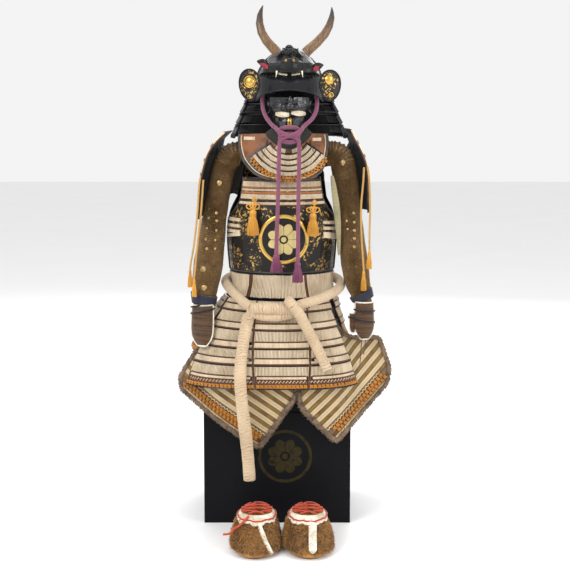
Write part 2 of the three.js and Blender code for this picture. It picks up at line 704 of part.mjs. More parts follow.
function buildVisor() {
  const { rim, middleFoot, endFoot, reach, half, span } = VISOR;
  const grid = range(6).map((row) => range(21).map((column) => {
    const share = row / 5;
    const angle = lerp(-span, span, column / 20);
    const head = bowlPoint(angle, rim, 1.03);
    const drop = (Math.abs(angle) / span) ** 2;
    const foot = vec(
      half * Math.sin(radians(angle)) / Math.sin(radians(span)),
      -reach * Math.cos(radians(angle)) ** 0.85 - 4,
      lerp(middleFoot, endFoot, drop),
    );
    const point = head.lerp(foot, share);
    point.z += 6 * Math.sin(Math.PI * share);
    return point;
  }));
  const under = (point) => vec(point.x * 0.5, point.y * 0.5, point.z - 90);
  addPiece("helmet_visor", wallTowards(grid, IRON, under), FINISH.iron, helmetGroup);
}

const NECK_LAMES = 5;

function buildNeckGuard() {
  const { top, foot, topHalf, footHalf, topDepth, footDepth } = NECK_GUARD;
  const shares = range(NECK_LAMES).flatMap((lame) => [lame, lame + 0.92].map((at) => at / NECK_LAMES));
  const grid = shares.map((share) => {
    const stepOut = 5 * ((share * NECK_LAMES) % 1);
    const span = lerp(104, 112, share);
    const half = lerp(topHalf, footHalf, share ** 0.9) + stepOut;
    const depth = lerp(topDepth, footDepth, share ** 0.9) + stepOut;
    const front = lerp(topDepth * 0.9, footDepth * 0.72, share) + stepOut;
    const section = { z: lerp(top, foot, share), half, front, back: depth };
    return range(23).map((column) => bodyPoint(section, 180 + lerp(-span, span, column / 22)));
  });
  const inward = (point) => vec(0, 0, point.z - 60);
  addPiece("helmet_neck_guard", wallTowards(grid, LAME, inward), FINISH.lacquer, helmetGroup);
}

// Turn-backs: egg-shaped ends of the neck guard's first lame, turned out beside the visor.
const TURNBACKS = [
  { name: "helmet_turnback_left", x: -119, z: 1337, half: 31, rise: 46, side: -1 },
  { name: "helmet_turnback_right", x: 121, z: 1334, half: 32, rise: 46, side: 1 },
];

function buildTurnbacks() {
  for (const { name, x, z, half, rise, side } of TURNBACKS) {
    const face = (set) => range(12).map((row) => {
      const up = 0.99 * Math.sin(lerp(-1.5, 1.5, row / 11));
      const wide = half * Math.sqrt(1 - up * up) * (1 + 0.1 * up);
      return range(7).map((column) => {
        const across = lerp(-wide, wide, column / 6);
        const back = 0.0045 * (across * side + 34) ** 2;
        return vec(x + across, -132 + back + set, z + rise * up);
      });
    });
    addPiece(name, wallBetween(face(0), face(3.2)), FINISH.gilt, helmetGroup);
  }
}

// The beast's head lies on the bowl's front as a thick relief.
const BEAST = { from: -66, to: 66, low: 19, high: 68 };

function beastRelief(angle, height) {
  const side = Math.abs(angle);
  const muzzle = 30 * bump(angle, 0, 27) * bump(height, 29, 10);
  const jaw = 12 * bump(angle, 0, 34) * bump(height, 20, 5);
  const nose = 12 * bump(angle, 0, 9) * bump(height, 34, 6);
  const nostrils = 4 * bump(side, 9, 4) * bump(height, 31, 4);
  const brow = 15 * bump(side, 17, 12) * bump(height, 53, 6);
  const eyes = 7 * bump(side, 10, 6) * bump(height, 44, 5);
  const cheeks = 12 * bump(side, 40, 12) * bump(height, 27, 14);
  const crest = 9 * bump(height, 62, 5) * bump(angle, 0, 40);
  return 4 + muzzle + jaw + nose + nostrils + brow + eyes + cheeks + crest;
}

function buildBeastHead() {
  const angles = range(25).map((step) => lerp(BEAST.from, BEAST.to, step / 24));
  const heights = range(12).map((step) => lerp(BEAST.low, BEAST.high, step / 11));
  const raised = (angle, height, out) => {
    const point = bowlPoint(angle, height);
    return point.addScaledVector(point.clone().sub(BOWL_MIDDLE).normalize(), out);
  };
  const edgeFade = (angle) => smooth(BEAST.to - Math.abs(angle), 0, 14);
  const outer = heights.map((height) => angles.map((angle) => {
    return raised(angle, height, 2 + beastRelief(angle, height) * edgeFade(angle));
  }));
  const inner = heights.map((height) => angles.map((angle) => raised(angle, height, 0.9)));
  const ears = [[-1, 66, 1392], [1, 71, 1381]].map(([side, x, z]) => {
    const rings = [0, 0.12, 0.35, 0.6, 0.82, 1].map((share) => {
      const wide = 12.5 * Math.sin(Math.PI * Math.min(0.28 + 0.68 * share, 0.97));
      return range(10).map((step) => {
        const angle = (2 * Math.PI * step) / 10;
        const hollow = Math.sin(angle) < -0.3 ? 2.5 : 0;
        const along = 31 * share;
        return vec(
          side * (x + along - 0.8 * Math.cos(angle)),
          -92 - 7 * Math.sin(Math.PI * share) + 4 * Math.sin(angle) + hollow,
          z + 4 + along * 0.32 + wide * Math.cos(angle),
        );
      });
    });
    return ringSolid(rings);
  });
  addPiece("beast_head", joined(wallBetween(outer, inner), ...ears), FINISH.lacquer, helmetGroup);
}

// Horns: rows from foot to tip, the places from the helmet's middle.
const HORNS = [
  {
    name: "horn_left",
    rows: [
      { x: -36, y: -99, z: 1431, across: 15.5, deep: 15 },
      { x: -50, y: -98, z: 1446, across: 15, deep: 14 },
      { x: -68, y: -93, z: 1466, across: 14, deep: 13 },
      { x: -83, y: -86, z: 1492, across: 13, deep: 12 },
      { x: -89, y: -78, z: 1518, across: 11.5, deep: 10.5 },
      { x: -88, y: -70, z: 1542, across: 8.5, deep: 8 },
      { x: -84, y: -64, z: 1558, across: 5, deep: 5 },
      { x: -79, y: -60, z: 1571, across: 1.2, deep: 1.2 },
    ],
  },
  {
    name: "horn_right",
    rows: [
      { x: 47, y: -99, z: 1429, across: 15.5, deep: 15 },
      { x: 62, y: -98, z: 1443, across: 15, deep: 14 },
      { x: 82, y: -93, z: 1460, across: 14, deep: 13 },
      { x: 106, y: -86, z: 1486, across: 13, deep: 12 },
      { x: 120, y: -78, z: 1511, across: 11.5, deep: 10.5 },
      { x: 127, y: -70, z: 1536, across: 8.5, deep: 8 },
      { x: 128, y: -64, z: 1552, across: 5, deep: 5 },
      { x: 127, y: -60, z: 1566, across: 1.2, deep: 1.2 },
    ],
  },
];

function buildHorns() {
  for (const { name, rows } of HORNS) {
    addPiece(name, ringSolid(ringsAlong(rows, 12)), FINISH.horn, helmetGroup);
  }
}

// ---------------------------------------------------------------- half mask

function buildMask() {
  const { half, depth, top, chin, middleY } = MASK;
  const grid = range(12).map((row) => {
    const share = row / 11;
    const z = lerp(chin, top, share);
    const narrow = 1 - 0.34 * (1 - share) ** 2.2;
    return range(19).map((column) => {
      const angle = lerp(-90, 90, column / 18);
      const out = vec(Math.sin(radians(angle)), -Math.cos(radians(angle)), 0);
      const rise = z - chin;
      const nostrils = 9 * bump(Math.abs(angle), 12, 7) * bump(rise, 68, 8);
      const nose = 27 * bump(angle, 0, 9) * bump(rise, 74, 15) + nostrils;
      const bridge = 12 * bump(angle, 0, 8) * smooth(rise, 70, 92);
      const cheeks = 7 * bump(Math.abs(angle), 42, 17) * bump(rise, 66, 18);
      const lips = 8 * bump(angle, 0, 26) * bump(rise, 42, 6) + 8 * bump(angle, 0, 24) * bump(rise, 24, 5);
      const mouth = -6 * bump(angle, 0, 24) * bump(rise, 33, 5);
      const chinRise = 10 * bump(angle, 0, 22) * bump(rise, 6, 12);
      const grow = nose + bridge + cheeks + lips + mouth + chinRise;
      return vec(out.x * (half * narrow + grow), middleY + out.y * (depth * narrow + grow), z);
    });
  });
  addPiece("face_mask", wallTowards(grid, IRON, towardsAxis(0, middleY)), FINISH.lacquer, helmetGroup);
}

// ---------------------------------------------------------------- cords and tassels

// Chin cord routes, from the helmet's middle. The cheek cords run from the bowl's rim to the knot and
// the ends hang from the knot to their tassels.
const CHIN_CORDS = [
  {
    name: "chin_cord_left",
    route: [
      [-79, -62, 1336], [-80, -80, 1314], [-81, -96, 1288], [-78, -111, 1262], [-68, -124, 1238],
      [-54, -138, 1220], [-41, -149, 1209],
    ],
  },
  {
    name: "chin_cord_right",
    route: [
      [79, -62, 1336], [80, -80, 1314], [83, -95, 1288], [81, -111, 1262], [70, -126, 1238],
      [52, -140, 1221], [39, -149, 1211],
    ],
  },
  {
    name: "chin_end_left",
    route: [
      [-30, -167, 1163], [-30, -170, 1146], [-31, -172, 1110], [-32, -174, 1060], [-34, -175, 1000],
      [-36, -175, 940], [-38, -175, 880], [-39, -175, 834],
    ],
  },
  {
    name: "chin_end_right",
    route: [
      [28, -167, 1163], [29, -170, 1146], [29, -172, 1110], [28, -174, 1060], [27, -175, 1000],
      [26, -175, 930], [26, -175, 870], [25, -175, 811],
    ],
  },
];
const CHIN_TASSELS = [
  { name: "chin_tassel_left", x: -39, y: -175, top: 833, length: 55, radius: 20 },
  { name: "chin_tassel_right", x: 25, y: -175, top: 810, length: 64, radius: 18 },
];

// Shoulder cords, from the body armour's middle.
const SHOULDER_CORDS = [
  {
    name: "shoulder_cord_left_1",
    route: [
      [-246, -110, 1056], [-250, -112, 1020], [-254, -113, 960], [-260, -113, 900], [-268, -113, 842],
      [-276, -108, 800], [-279, -104, 779],
    ],
  },
  {
    name: "shoulder_cord_left_2",
    route: [
      [-236, -110, 1052], [-239, -114, 1010], [-244, -116, 950], [-251, -116, 890], [-258, -116, 830],
      [-263, -118, 780], [-266, -118, 753],
    ],
  },
  {
    name: "shoulder_cord_right_1",
    route: [
      [248, -111, 1090], [245, -114, 1040], [240, -116, 980], [240, -116, 920], [243, -116, 860],
      [247, -116, 808], [249, -116, 778],
    ],
  },
  {
    name: "shoulder_cord_right_2",
    route: [
      [258, -111, 1092], [263, -113, 1060], [266, -114, 1010], [267, -114, 950], [266, -114, 900],
      [266, -114, 860], [266, -114, 838],
    ],
  },
];
const SHOULDER_TASSELS = [
  { name: "shoulder_tassel_left_1", x: -279, y: -104, top: 778, length: 56, radius: 8 },
  { name: "shoulder_tassel_left_2", x: -266, y: -118, top: 752, length: 58, radius: 8 },
  { name: "shoulder_tassel_right_1", x: 249, y: -116, top: 777, length: 64, radius: 9 },
  { name: "shoulder_tassel_right_2", x: 266, y: -114, top: 837, length: 58, radius: 9 },
];
const SHOULDER_CORD_RADIUS = 3;

// A tassel: a bound head and a spreading skirt of threads, hung from its top.
function tasselSolid({ x, y, top, length, radius }, segments = 12) {
  const head = 0.55 * radius;
  return latheSolid([
    [0, top - length], [radius, top - length], [radius * 0.95, top - length * 0.72],
    [radius * 0.72, top - length * 0.42], [head * 0.8, top - length * 0.3], [head, top - length * 0.2],
    [head * 0.9, top - length * 0.08], [head * 0.45, top], [0, top],
  ], segments).translate(x, y, 0);
}

function ringTube(x, y, z, half, rise, radius) {
  const ring = new THREE.TorusGeometry(half, radius, 6, 14);
  ring.scale(1, rise / half, 1).rotateX(Math.PI / 2).translate(x, y, z);
  return closedSolid(ring);
}

function buildChinCords() {
  for (const { name, route } of CHIN_CORDS) {
    addPiece(name, cordSolid(route, CORD.radius, route[0][2] < 1200 ? 18 : 12), FINISH.cord, helmetGroup);
  }
  const knot = joined(
    ringTube(0, -160, 1198, 29, 13, CORD.radius + 1.5),
    ringTube(-2, -163, 1180, 24, 11, CORD.radius + 1.5),
  );
  addPiece("chin_knot", knot, FINISH.cord, helmetGroup);
  for (const tassel of CHIN_TASSELS) {
    addPiece(tassel.name, closedSolid(tasselSolid(tassel)), FINISH.cord, helmetGroup);
  }
}

const CHEST_TASSELS = [
  { name: "chest_tassel_left", x: -86, y: -155, top: 966, length: 78, radius: 21 },
  { name: "chest_tassel_right", x: 94, y: -153, top: 956, length: 70, radius: 21 },
];

function buildTassels() {
  for (const { name, route } of SHOULDER_CORDS) {
    addPiece(name, cordSolid(route, SHOULDER_CORD_RADIUS, 12), FINISH.tassel, bodyGroup);
  }
  for (const tassel of SHOULDER_TASSELS) {
    addPiece(tassel.name, closedSolid(tasselSolid(tassel, 10)), FINISH.tassel, bodyGroup);
  }
  for (const tassel of CHEST_TASSELS) {
    const { x, y, top } = tassel;
    const route = [[x, y, top - 6], [x, y + 4, top + 12], [x, y + 12, top + 36], [x, y + 19, top + 56]];
    const stem = cordSolid(route, 5, 5);
    const bows = [-1, 1].map((side) => ringTube(x + side * 12, y + 5, top + 13, 9, 5, 2.6));
    addPiece(tassel.name, joined(closedSolid(tasselSolid(tassel)), stem, ...bows), FINISH.tassel, bodyGroup);
  }
}

// ---------------------------------------------------------------- belt

// Rolled cloth round the waist, from the body armour's middle, left front round the back to right front.
const BELT_ROUTE = [
  [-60, -186, 655], [-88, -176, 669], [-120, -148, 690], [-150, -106, 711], [-168, -56, 724],
  [-174, 0, 730], [-161, 60, 733], [-122, 108, 735], [-62, 129, 736], [0, 134, 736], [62, 129, 736],
  [122, 108, 735], [164, 62, 732], [180, 8, 728], [181, -48, 722], [168, -98, 714], [134, -140, 702],
  [98, -164, 692], [60, -182, 684], [36, -192, 674],
];
const BELT_KNOT = {
  roll: [[-92, -199, 672], [-60, -203, 676], [-10, -204, 674], [40, -200, 668]],
  under: [[-104, -184, 664], [-60, -191, 652], [-10, -194, 650], [34, -194, 660]],
  rollRadius: 17,
  underRadius: 15,
};
const BELT_ENDS = [
  {
    name: "belt_end_left",
    rows: [
      { x: -97, y: -191, z: 655, across: 14, deep: 12 },
      { x: -102, y: -184, z: 636, across: 17, deep: 14 },
      { x: -112, y: -208, z: 588, across: 18, deep: 14 },
      { x: -121, y: -240, z: 524, across: 19, deep: 14 },
      { x: -123, y: -258, z: 478, across: 19, deep: 14 },
      { x: -121, y: -269, z: 436, across: 19, deep: 14 },
      { x: -115, y: -271, z: 370, across: 19, deep: 14 },
      { x: -106, y: -269, z: 294, across: 19, deep: 14 },
      { x: -99, y: -267, z: 214, across: 19, deep: 14 },
      { x: -96, y: -266, z: 163, across: 18, deep: 13 },
    ],
  },
  {
    name: "belt_end_right",
    rows: [
      { x: 16, y: -206, z: 704, across: 12, deep: 11 },
      { x: 30, y: -222, z: 690, across: 15, deep: 12 },
      { x: 50, y: -226, z: 664, across: 16, deep: 13 },
      { x: 66, y: -216, z: 634, across: 16, deep: 13 },
      { x: 86, y: -211, z: 596, across: 17, deep: 13 },
      { x: 110, y: -222, z: 550, across: 17, deep: 13 },
      { x: 130, y: -234, z: 508, across: 17, deep: 13 },
      { x: 137, y: -238, z: 492, across: 16, deep: 12 },
    ],
  },
];

function beltKnot(grow) {
  const { roll, under, rollRadius, underRadius } = BELT_KNOT;
  return joined(cordSolid(roll, rollRadius + grow, 8, 10), cordSolid(under, underRadius + grow, 8, 10));
}

function buildBelt() {
  addPiece("belt_knot", beltKnot(0), FINISH.belt, bodyGroup);
  const wrap = cordSolid(BELT_ROUTE, BELT_RADIUS, 40, 8);
  addPiece("belt_wrap", cut(wrap, beltKnot(SEAM)), FINISH.belt, bodyGroup);
  for (const { name, rows } of BELT_ENDS) {
    addPiece(name, cut(ringSolid(ringsAlong(rows, 12)), beltKnot(SEAM)), FINISH.belt, bodyGroup);
  }
}

// ---------------------------------------------------------------- shoes

// Rings from the sole to the collar: half width, half length and how far the ring sits back.
const SHOE_RINGS = [
  { z: 0, half: 58, long: 112, back: 0 },
  { z: 12, half: 68, long: 118, back: 0 },
  { z: 32, half: 69, long: 113, back: 5 },
  { z: 52, half: 65, long: 99, back: 17 },
  { z: 72, half: 57, long: 84, back: 29 },
  { z: 90, half: 49, long: 70, back: 39 },
  { z: 104, half: 45, long: 62, back: 44 },
];
const SHOE_PLACES = [
  { name: "shoe_left", x: -60, y: -418, turn: -2 },
  { name: "shoe_right", x: 92, y: -418, turn: 3 },
];

function shoeRing({ z, half, long, back }, inset) {
  return range(20).map((step) => {
    const angle = (2 * Math.PI * step) / 20;
    const toe = Math.cos(angle) > 0 ? 1 : 0.86;
    const wide = half * (1 + 0.08 * Math.cos(angle)) - inset;
    return vec(wide * Math.sin(angle), back - (long * toe - inset) * Math.cos(angle), z);
  });
}

function buildShoes() {
  const outer = SHOE_RINGS.map((row) => shoeRing(row, 0));
  const inner = SHOE_RINGS.map((row) => shoeRing({ ...row, z: Math.max(row.z, SHOE_WALL) }, SHOE_WALL));
  for (const { name, x, y, turn } of SHOE_PLACES) {
    const mesh = addPiece(name, ringSolid([...outer, ...inner.toReversed()]), FINISH.fur);
    mesh.position.set(x, y, 0);
    mesh.rotation.z = radians(turn);
  }
}

buildBox();
buildStand();
buildCuirass();
buildStraps();
buildWaistLacing();
buildSkirt();
buildThroatGuard();
buildThighGuards();
buildSleeves();
buildHandGuards();
buildShoulderGuards();
buildBowl();
buildVisor();
buildNeckGuard();
buildTurnbacks();
buildBeastHead();
buildHorns();
buildMask();
buildChinCords();
buildTassels();
buildBelt();
buildShoes();

export default group;
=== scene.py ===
"""Dresses a samurai armour, its stand and its storage box: lacing, mail, lacquer, silk and fur."""

import json
import logging
import math
import random
from dataclasses import dataclass, field
from enum import Enum
from typing import Callable, Iterable, Optional, Sequence, Union

import bmesh
import bpy
from mathutils import Matrix, Vector
from mathutils.bvhtree import BVHTree

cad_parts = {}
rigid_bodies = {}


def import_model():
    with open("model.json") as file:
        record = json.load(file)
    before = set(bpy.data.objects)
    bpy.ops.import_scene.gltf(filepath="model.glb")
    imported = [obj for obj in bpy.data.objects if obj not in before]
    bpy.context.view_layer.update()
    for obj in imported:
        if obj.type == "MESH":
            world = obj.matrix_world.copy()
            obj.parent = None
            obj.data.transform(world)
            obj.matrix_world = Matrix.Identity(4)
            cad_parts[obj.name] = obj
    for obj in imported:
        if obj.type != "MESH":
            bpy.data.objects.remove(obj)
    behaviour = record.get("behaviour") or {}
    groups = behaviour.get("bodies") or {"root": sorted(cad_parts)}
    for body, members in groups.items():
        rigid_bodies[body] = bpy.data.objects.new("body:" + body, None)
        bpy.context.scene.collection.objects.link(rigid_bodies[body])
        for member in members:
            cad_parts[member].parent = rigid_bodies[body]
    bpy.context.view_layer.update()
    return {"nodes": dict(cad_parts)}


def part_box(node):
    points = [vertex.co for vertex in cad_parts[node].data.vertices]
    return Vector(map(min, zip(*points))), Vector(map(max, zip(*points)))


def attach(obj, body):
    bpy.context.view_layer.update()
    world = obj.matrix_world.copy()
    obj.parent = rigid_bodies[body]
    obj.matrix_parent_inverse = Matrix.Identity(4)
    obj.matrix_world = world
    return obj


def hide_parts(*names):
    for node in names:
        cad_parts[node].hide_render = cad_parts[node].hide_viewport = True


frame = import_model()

LOG = logging.getLogger("armour")
ROOT = "root"

# Groups of the part: the body armour and the helmet stand a little off the box's middle.
BODY = Vector((0.014, -0.016, 0.0))
HELMET = Vector((0.037, -0.016, 0.0))

Number = Union[int, float]
Point = tuple[float, float, float]
Colour = tuple[float, float, float]
Pair = tuple[float, float]
Hit = tuple[Vector, Vector]
Operand = Union["Value", int, float]


def mm(points: Iterable[Sequence[float]], shift: Vector = Vector((0, 0, 0))) -> list[Vector]:
    """Turns points in millimetres into vectors in metres.

    Args:
        points: The points, in millimetres.
        shift: The place of their group, in metres.

    Returns:
        The points in the part's frame.
    """
    return [Vector(p) / 1000 + shift for p in points]


def lerp(a: float, b: float, share: float) -> float:
    """Returns the value that lies the share of the way from a to b."""
    return a + (b - a) * share


def linear(code: str) -> Colour:
    """Returns the linear colour of a hexadecimal screen colour such as D9A347."""
    parts = [int(code[i:i + 2], 16) / 255 for i in (0, 2, 4)]
    low, high = [((c + 0.055) / 1.055) ** 2.4 if c > 0.04045 else c / 12.92 for c in parts], 1.0
    return (min(low[0], high), min(low[1], high), min(low[2], high))


# ---------------------------------------------------------------- shader helpers


class Value:
    """An output socket of a shader tree that takes part in Python arithmetic."""

    def __init__(self, shade: "Shade", socket: bpy.types.NodeSocket) -> None:
        """Wraps the socket of one tree."""
        self.shade = shade
        self.socket = socket

    def math(self, operation: str, *others: Operand, clamp: bool = False) -> "Value":
        """Adds one Math node.

        Args:
            operation: The node's operation.
            others: What goes to its other sockets.
            clamp: Whether the result is held from 0 to 1.

        Returns:
            The node's result.
        """
        return self.shade.math(operation, self, *others, clamp=clamp)

    def __add__(self, other: Operand) -> "Value":
        """Returns self + other."""
        return self.math("ADD", other)

    def __radd__(self, other: Number) -> "Value":
        """Returns other + self."""
        return self.math("ADD", other)

    def __sub__(self, other: Operand) -> "Value":
        """Returns self - other."""
        return self.math("SUBTRACT", other)

    def __rsub__(self, other: Number) -> "Value":
        """Returns other - self."""
        return self.shade.math("SUBTRACT", other, self)

    def __mul__(self, other: Operand) -> "Value":
        """Returns self * other."""
        return self.math("MULTIPLY", other)

    def __truediv__(self, other: Operand) -> "Value":
        """Returns self / other."""
        return self.math("DIVIDE", other)

    def __lt__(self, other: Operand) -> "Value":
        """Returns 1 where self is under other, else 0."""
        return self.math("LESS_THAN", other)

    def __abs__(self) -> "Value":
        """Returns the size of self without its sign."""
        return self.math("ABSOLUTE")

    def fract(self) -> "Value":
        """Returns the part of self after the point."""
        return self.math("FRACT")

    def floor(self) -> "Value":
        """Returns self rounded down."""
        return self.math("FLOOR")

    def sine(self) -> "Value":
        """Returns the sine of self, in radians."""
        return self.math("SINE")

    def root(self) -> "Value":
        """Returns the square root of self."""
        return self.math("SQRT")

    def least(self, other: Operand) -> "Value":
        """Returns the smaller of self and other."""
        return self.math("MINIMUM", other)

    def wave(self, pitch: float) -> "Value":
        """Returns a triangle wave from 0 to 1 and back over each pitch."""
        return self.math("PINGPONG", pitch / 2) / (pitch / 2)

    def ramp(self, low: float, high: float) -> "Value":
        """Returns a smooth step from 0 at low to 1 at high; low may be the larger."""
        node = self.shade.node(
            "ShaderNodeMapRange", {"interpolation_type": "SMOOTHSTEP"},
            {"Value": self, "From Min": low, "From Max": high})
        return Value(self.shade, node.outputs["Result"])


class Shade:
    """A procedural material: a Principled shader with what feeds it."""

    def __init__(self, name: str, **constants: Number) -> None:
        """Makes the material.

        Args:
            name: The material's name.
            constants: Fixed values of the shader's own sockets, by name with _ for a space.
        """
        self.material = bpy.data.materials.new(name)
        self.material.use_nodes = True
        self.tree = self.material.node_tree
        self.tree.nodes.clear()
        self.shader = self.tree.nodes.new("ShaderNodeBsdfPrincipled")
        output = self.tree.nodes.new("ShaderNodeOutputMaterial")
        self.tree.links.new(self.shader.outputs[0], output.inputs[0])
        self._places: dict[str, tuple[Value, Value, Value]] = {}
        for key, value in constants.items():
            self.shader.inputs[key.replace("_", " ")].default_value = value

    def feed(self, socket: bpy.types.NodeSocket, value: object) -> None:
        """Links or sets one input socket."""
        if isinstance(value, Value):
            value = value.socket
        if isinstance(value, bpy.types.NodeSocket):
            self.tree.links.new(value, socket)
        elif isinstance(value, (tuple, list, Vector)) and socket.type == "RGBA":
            socket.default_value = (*value, 1.0) if len(value) == 3 else value
        else:
            socket.default_value = value

    def node(self, kind: str, settings: Optional[dict] = None,
             inputs: Optional[dict] = None) -> bpy.types.Node:
        """Adds a node.

        Args:
            kind: The node's type.
            settings: Its settings, set first.
            inputs: Values or links for its sockets, by name or number.

        Returns:
            The node.
        """
        node = self.tree.nodes.new(kind)
        for key, value in (settings or {}).items():
            setattr(node, key, value)
        for key, value in (inputs or {}).items():
            self.feed(node.inputs[key], value)
        return node

    def math(self, operation: str, *values: Union[Value, Number], clamp: bool = False) -> Value:
        """Adds a Math node on the values and returns its result."""
        settings = {"operation": operation, "use_clamp": clamp}
        node = self.node("ShaderNodeMath", settings, dict(enumerate(values)))
        return Value(self, node.outputs[0])

    def place(self, source: str = "Object") -> tuple[Value, Value, Value]:
        """Returns the three Object coordinates, or the UV map's with source "UV"."""
        if source not in self._places:
            coordinate = self.node("ShaderNodeTexCoord")
            parts = self.node("ShaderNodeSeparateXYZ", None, {0: coordinate.outputs[source]})
            self._places[source] = tuple(Value(self, out) for out in parts.outputs)
        return self._places[source]

    def vector(self, x: Union[Value, Number], y: Union[Value, Number],
               z: Union[Value, Number] = 0) -> Value:
        """Joins three values to one vector."""
        node = self.node("ShaderNodeCombineXYZ", None, {0: x, 1: y, 2: z})
        return Value(self, node.outputs[0])

    def noise(self, scale: float, detail: float = 3, rough: float = 0.55, at: Optional[Value] = None,
              source: str = "Object") -> Value:
        """Returns soft noise from 0 to 1.

        Args:
            scale: Its grains to the metre.
            detail: Its number of finer layers.
            rough: How strong these are.
            at: The place it is read at, where that isn't the Object coordinates.
            source: The coordinates it reads where at isn't given.

        Returns:
            The noise.
        """
        place = at or Value(self, self.node("ShaderNodeTexCoord").outputs[source])
        node = self.node("ShaderNodeTexNoise", None,
                         {"Vector": place, "Scale": scale, "Detail": detail, "Roughness": rough})
        return Value(self, node.outputs["Fac"])

    def cells(self, scale: float, at: Optional[Value] = None, feature: str = "F1", output: str = "Distance",
              chance: float = 1.0) -> Value:
        """Returns a Voronoi pattern's distance, or another output of it."""
        place = at or Value(self, self.node("ShaderNodeTexCoord").outputs["Object"])
        node = self.node("ShaderNodeTexVoronoi", {"feature": feature},
                         {"Vector": place, "Scale": scale, "Randomness": chance})
        return Value(self, node.outputs[output])

    def mix(self, factor: Union[Value, Number], first: object, second: object, blend: str = "MIX") -> Value:
        """Mixes two colours and returns the result."""
        node = self.node("ShaderNodeMix", {"data_type": "RGBA", "blend_type": blend, "clamp_factor": True})
        self.feed(node.inputs[0], factor)
        self.feed(node.inputs[6], first)
        self.feed(node.inputs[7], second)
        return Value(self, node.outputs[2])

    def chance(self, x: Value, y: Union[Value, Number] = 0) -> Value:
        """Returns a fixed random value from 0 to 1 for each whole x and y."""
        node = self.node("ShaderNodeTexWhiteNoise", {"noise_dimensions": "2D"},
                         {"Vector": self.vector(x, y)})
        return Value(self, node.outputs["Value"])

    def finish(self, colour: object, rough: object, height: Optional[Value] = None, rise: float = 0.001,
               metal: Optional[object] = None, strength: float = 1.0) -> bpy.types.Material:
        """Feeds the shader.

        Args:
            colour: The base colour.
            rough: The roughness.
            height: The relief, from 0 to 1.
            rise: How high 1 of it stands, in metres.
            metal: The metallic value, where there is one.
            strength: How strongly the relief shows.

        Returns:
            The finished material.
        """
        self.feed(self.shader.inputs["Base Color"], colour)
        self.feed(self.shader.inputs["Roughness"], rough)
        if metal is not None:
            self.feed(self.shader.inputs["Metallic"], metal)
        if height is not None:
            bump = self.node("ShaderNodeBump", None,
                             {"Strength": strength, "Distance": rise, "Height": height})
            self.feed(self.shader.inputs["Normal"], bump.outputs[0])
        return self.material


# ---------------------------------------------------------------- geometry helpers


def link(mesh: bpy.types.Mesh, name: str) -> bpy.types.Object:
    """Makes an object of the mesh and links it to the scene."""
    obj = bpy.data.objects.new(name, mesh)
    bpy.context.scene.collection.objects.link(obj)
    return obj


def smooth(obj: bpy.types.Object, degrees: float = 40) -> bpy.types.Object:
    """Shades a mesh smooth except over edges sharper than the angle."""
    obj.data.shade_smooth()
    if degrees < 180:
        obj.data.set_sharp_from_angle(angle=math.radians(degrees))
    return obj


def settle(obj: bpy.types.Object, material: bpy.types.Material, slot: str) -> bpy.types.Object:
    """Gives a piece its material and lets it ride on the one body."""
    obj.data.materials.clear()
    obj.data.materials.append(material)
    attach(obj, ROOT)
    LOG.info("%s: %d faces", obj.name, len(obj.data.polygons))
    return obj


def grid_mesh(name: str, rows: Sequence[Sequence[Vector]], across: Optional[Sequence[float]] = None,
              closed: bool = False) -> bpy.types.Mesh:
    """Makes a surface through rows of points, with a UV map in metres.

    Args:
        name: The mesh's name.
        rows: The rows of points, each of the same length.
        across: U of each column; measured along the middle row where it isn't given.
        closed: Whether the last column joins the first.

    Returns:
        The mesh.
    """
    count, middle = len(rows[0]), rows[len(rows) // 2]
    if across is None:
        across = [0.0]
        for a, b in zip(middle, middle[1:]):
            across.append(across[-1] + (b - a).length)
    up = [0.0]
    for low, high in zip(rows, rows[1:]):
        up.append(up[-1] + (high[count // 2] - low[count // 2]).length)
    build = bmesh.new()
    grid = [[build.verts.new(p) for p in row] for row in rows]
    layer = build.loops.layers.uv.new("UVMap")
    last = count if closed else count - 1
    for r in range(len(rows) - 1):
        for c in range(last):
            n = (c + 1) % count
            face = build.faces.new((grid[r][c], grid[r][n], grid[r + 1][n], grid[r + 1][c]))
            far = across[n] if n else across[-1] + (middle[0] - middle[-1]).length
            for loop, uv in zip(face.loops,
                                ((across[c], up[r]), (far, up[r]), (far, up[r + 1]),
                                 (across[c], up[r + 1]))):
                loop[layer].uv = uv
    return made_mesh(build, name)


def solidify(obj: bpy.types.Object, thick: float, outward: bool = True) -> bpy.types.Object:
    """Turns a surface into a wall of the thickness, inward of its faces unless outward is set."""
    wall = obj.modifiers.new("wall", "SOLIDIFY")
    wall.thickness = thick
    wall.offset = 1.0 if outward else -1.0
    return bake(obj)


def bake(obj: bpy.types.Object) -> bpy.types.Object:
    """Turns an object and its modifiers into a plain mesh object and removes the modifiers."""
    graph = bpy.context.evaluated_depsgraph_get()
    graph.update()
    mesh = bpy.data.meshes.new_from_object(obj.evaluated_get(graph), depsgraph=graph)
    obj.modifiers.clear()
    obj.data = mesh
    return obj


def curve_points(points: Sequence[Vector], step: float) -> list[Vector]:
    """Returns points a step apart on a smooth curve through the given ones."""
    out: list[Vector] = []
    for i in range(len(points) - 1):
        a, b = points[max(i - 1, 0)], points[i]
        c, d = points[i + 1], points[min(i + 2, len(points) - 1)]
        parts = max(1, round((c - b).length / step))
        for k in range(parts):
            t = k / parts
            out.append(0.5 * (2 * b + (c - a) * t + (2 * a - 5 * b + 4 * c - d) * t * t
                              + (3 * b - a - 3 * c + d) * t * t * t))
    return out + [points[-1].copy()]


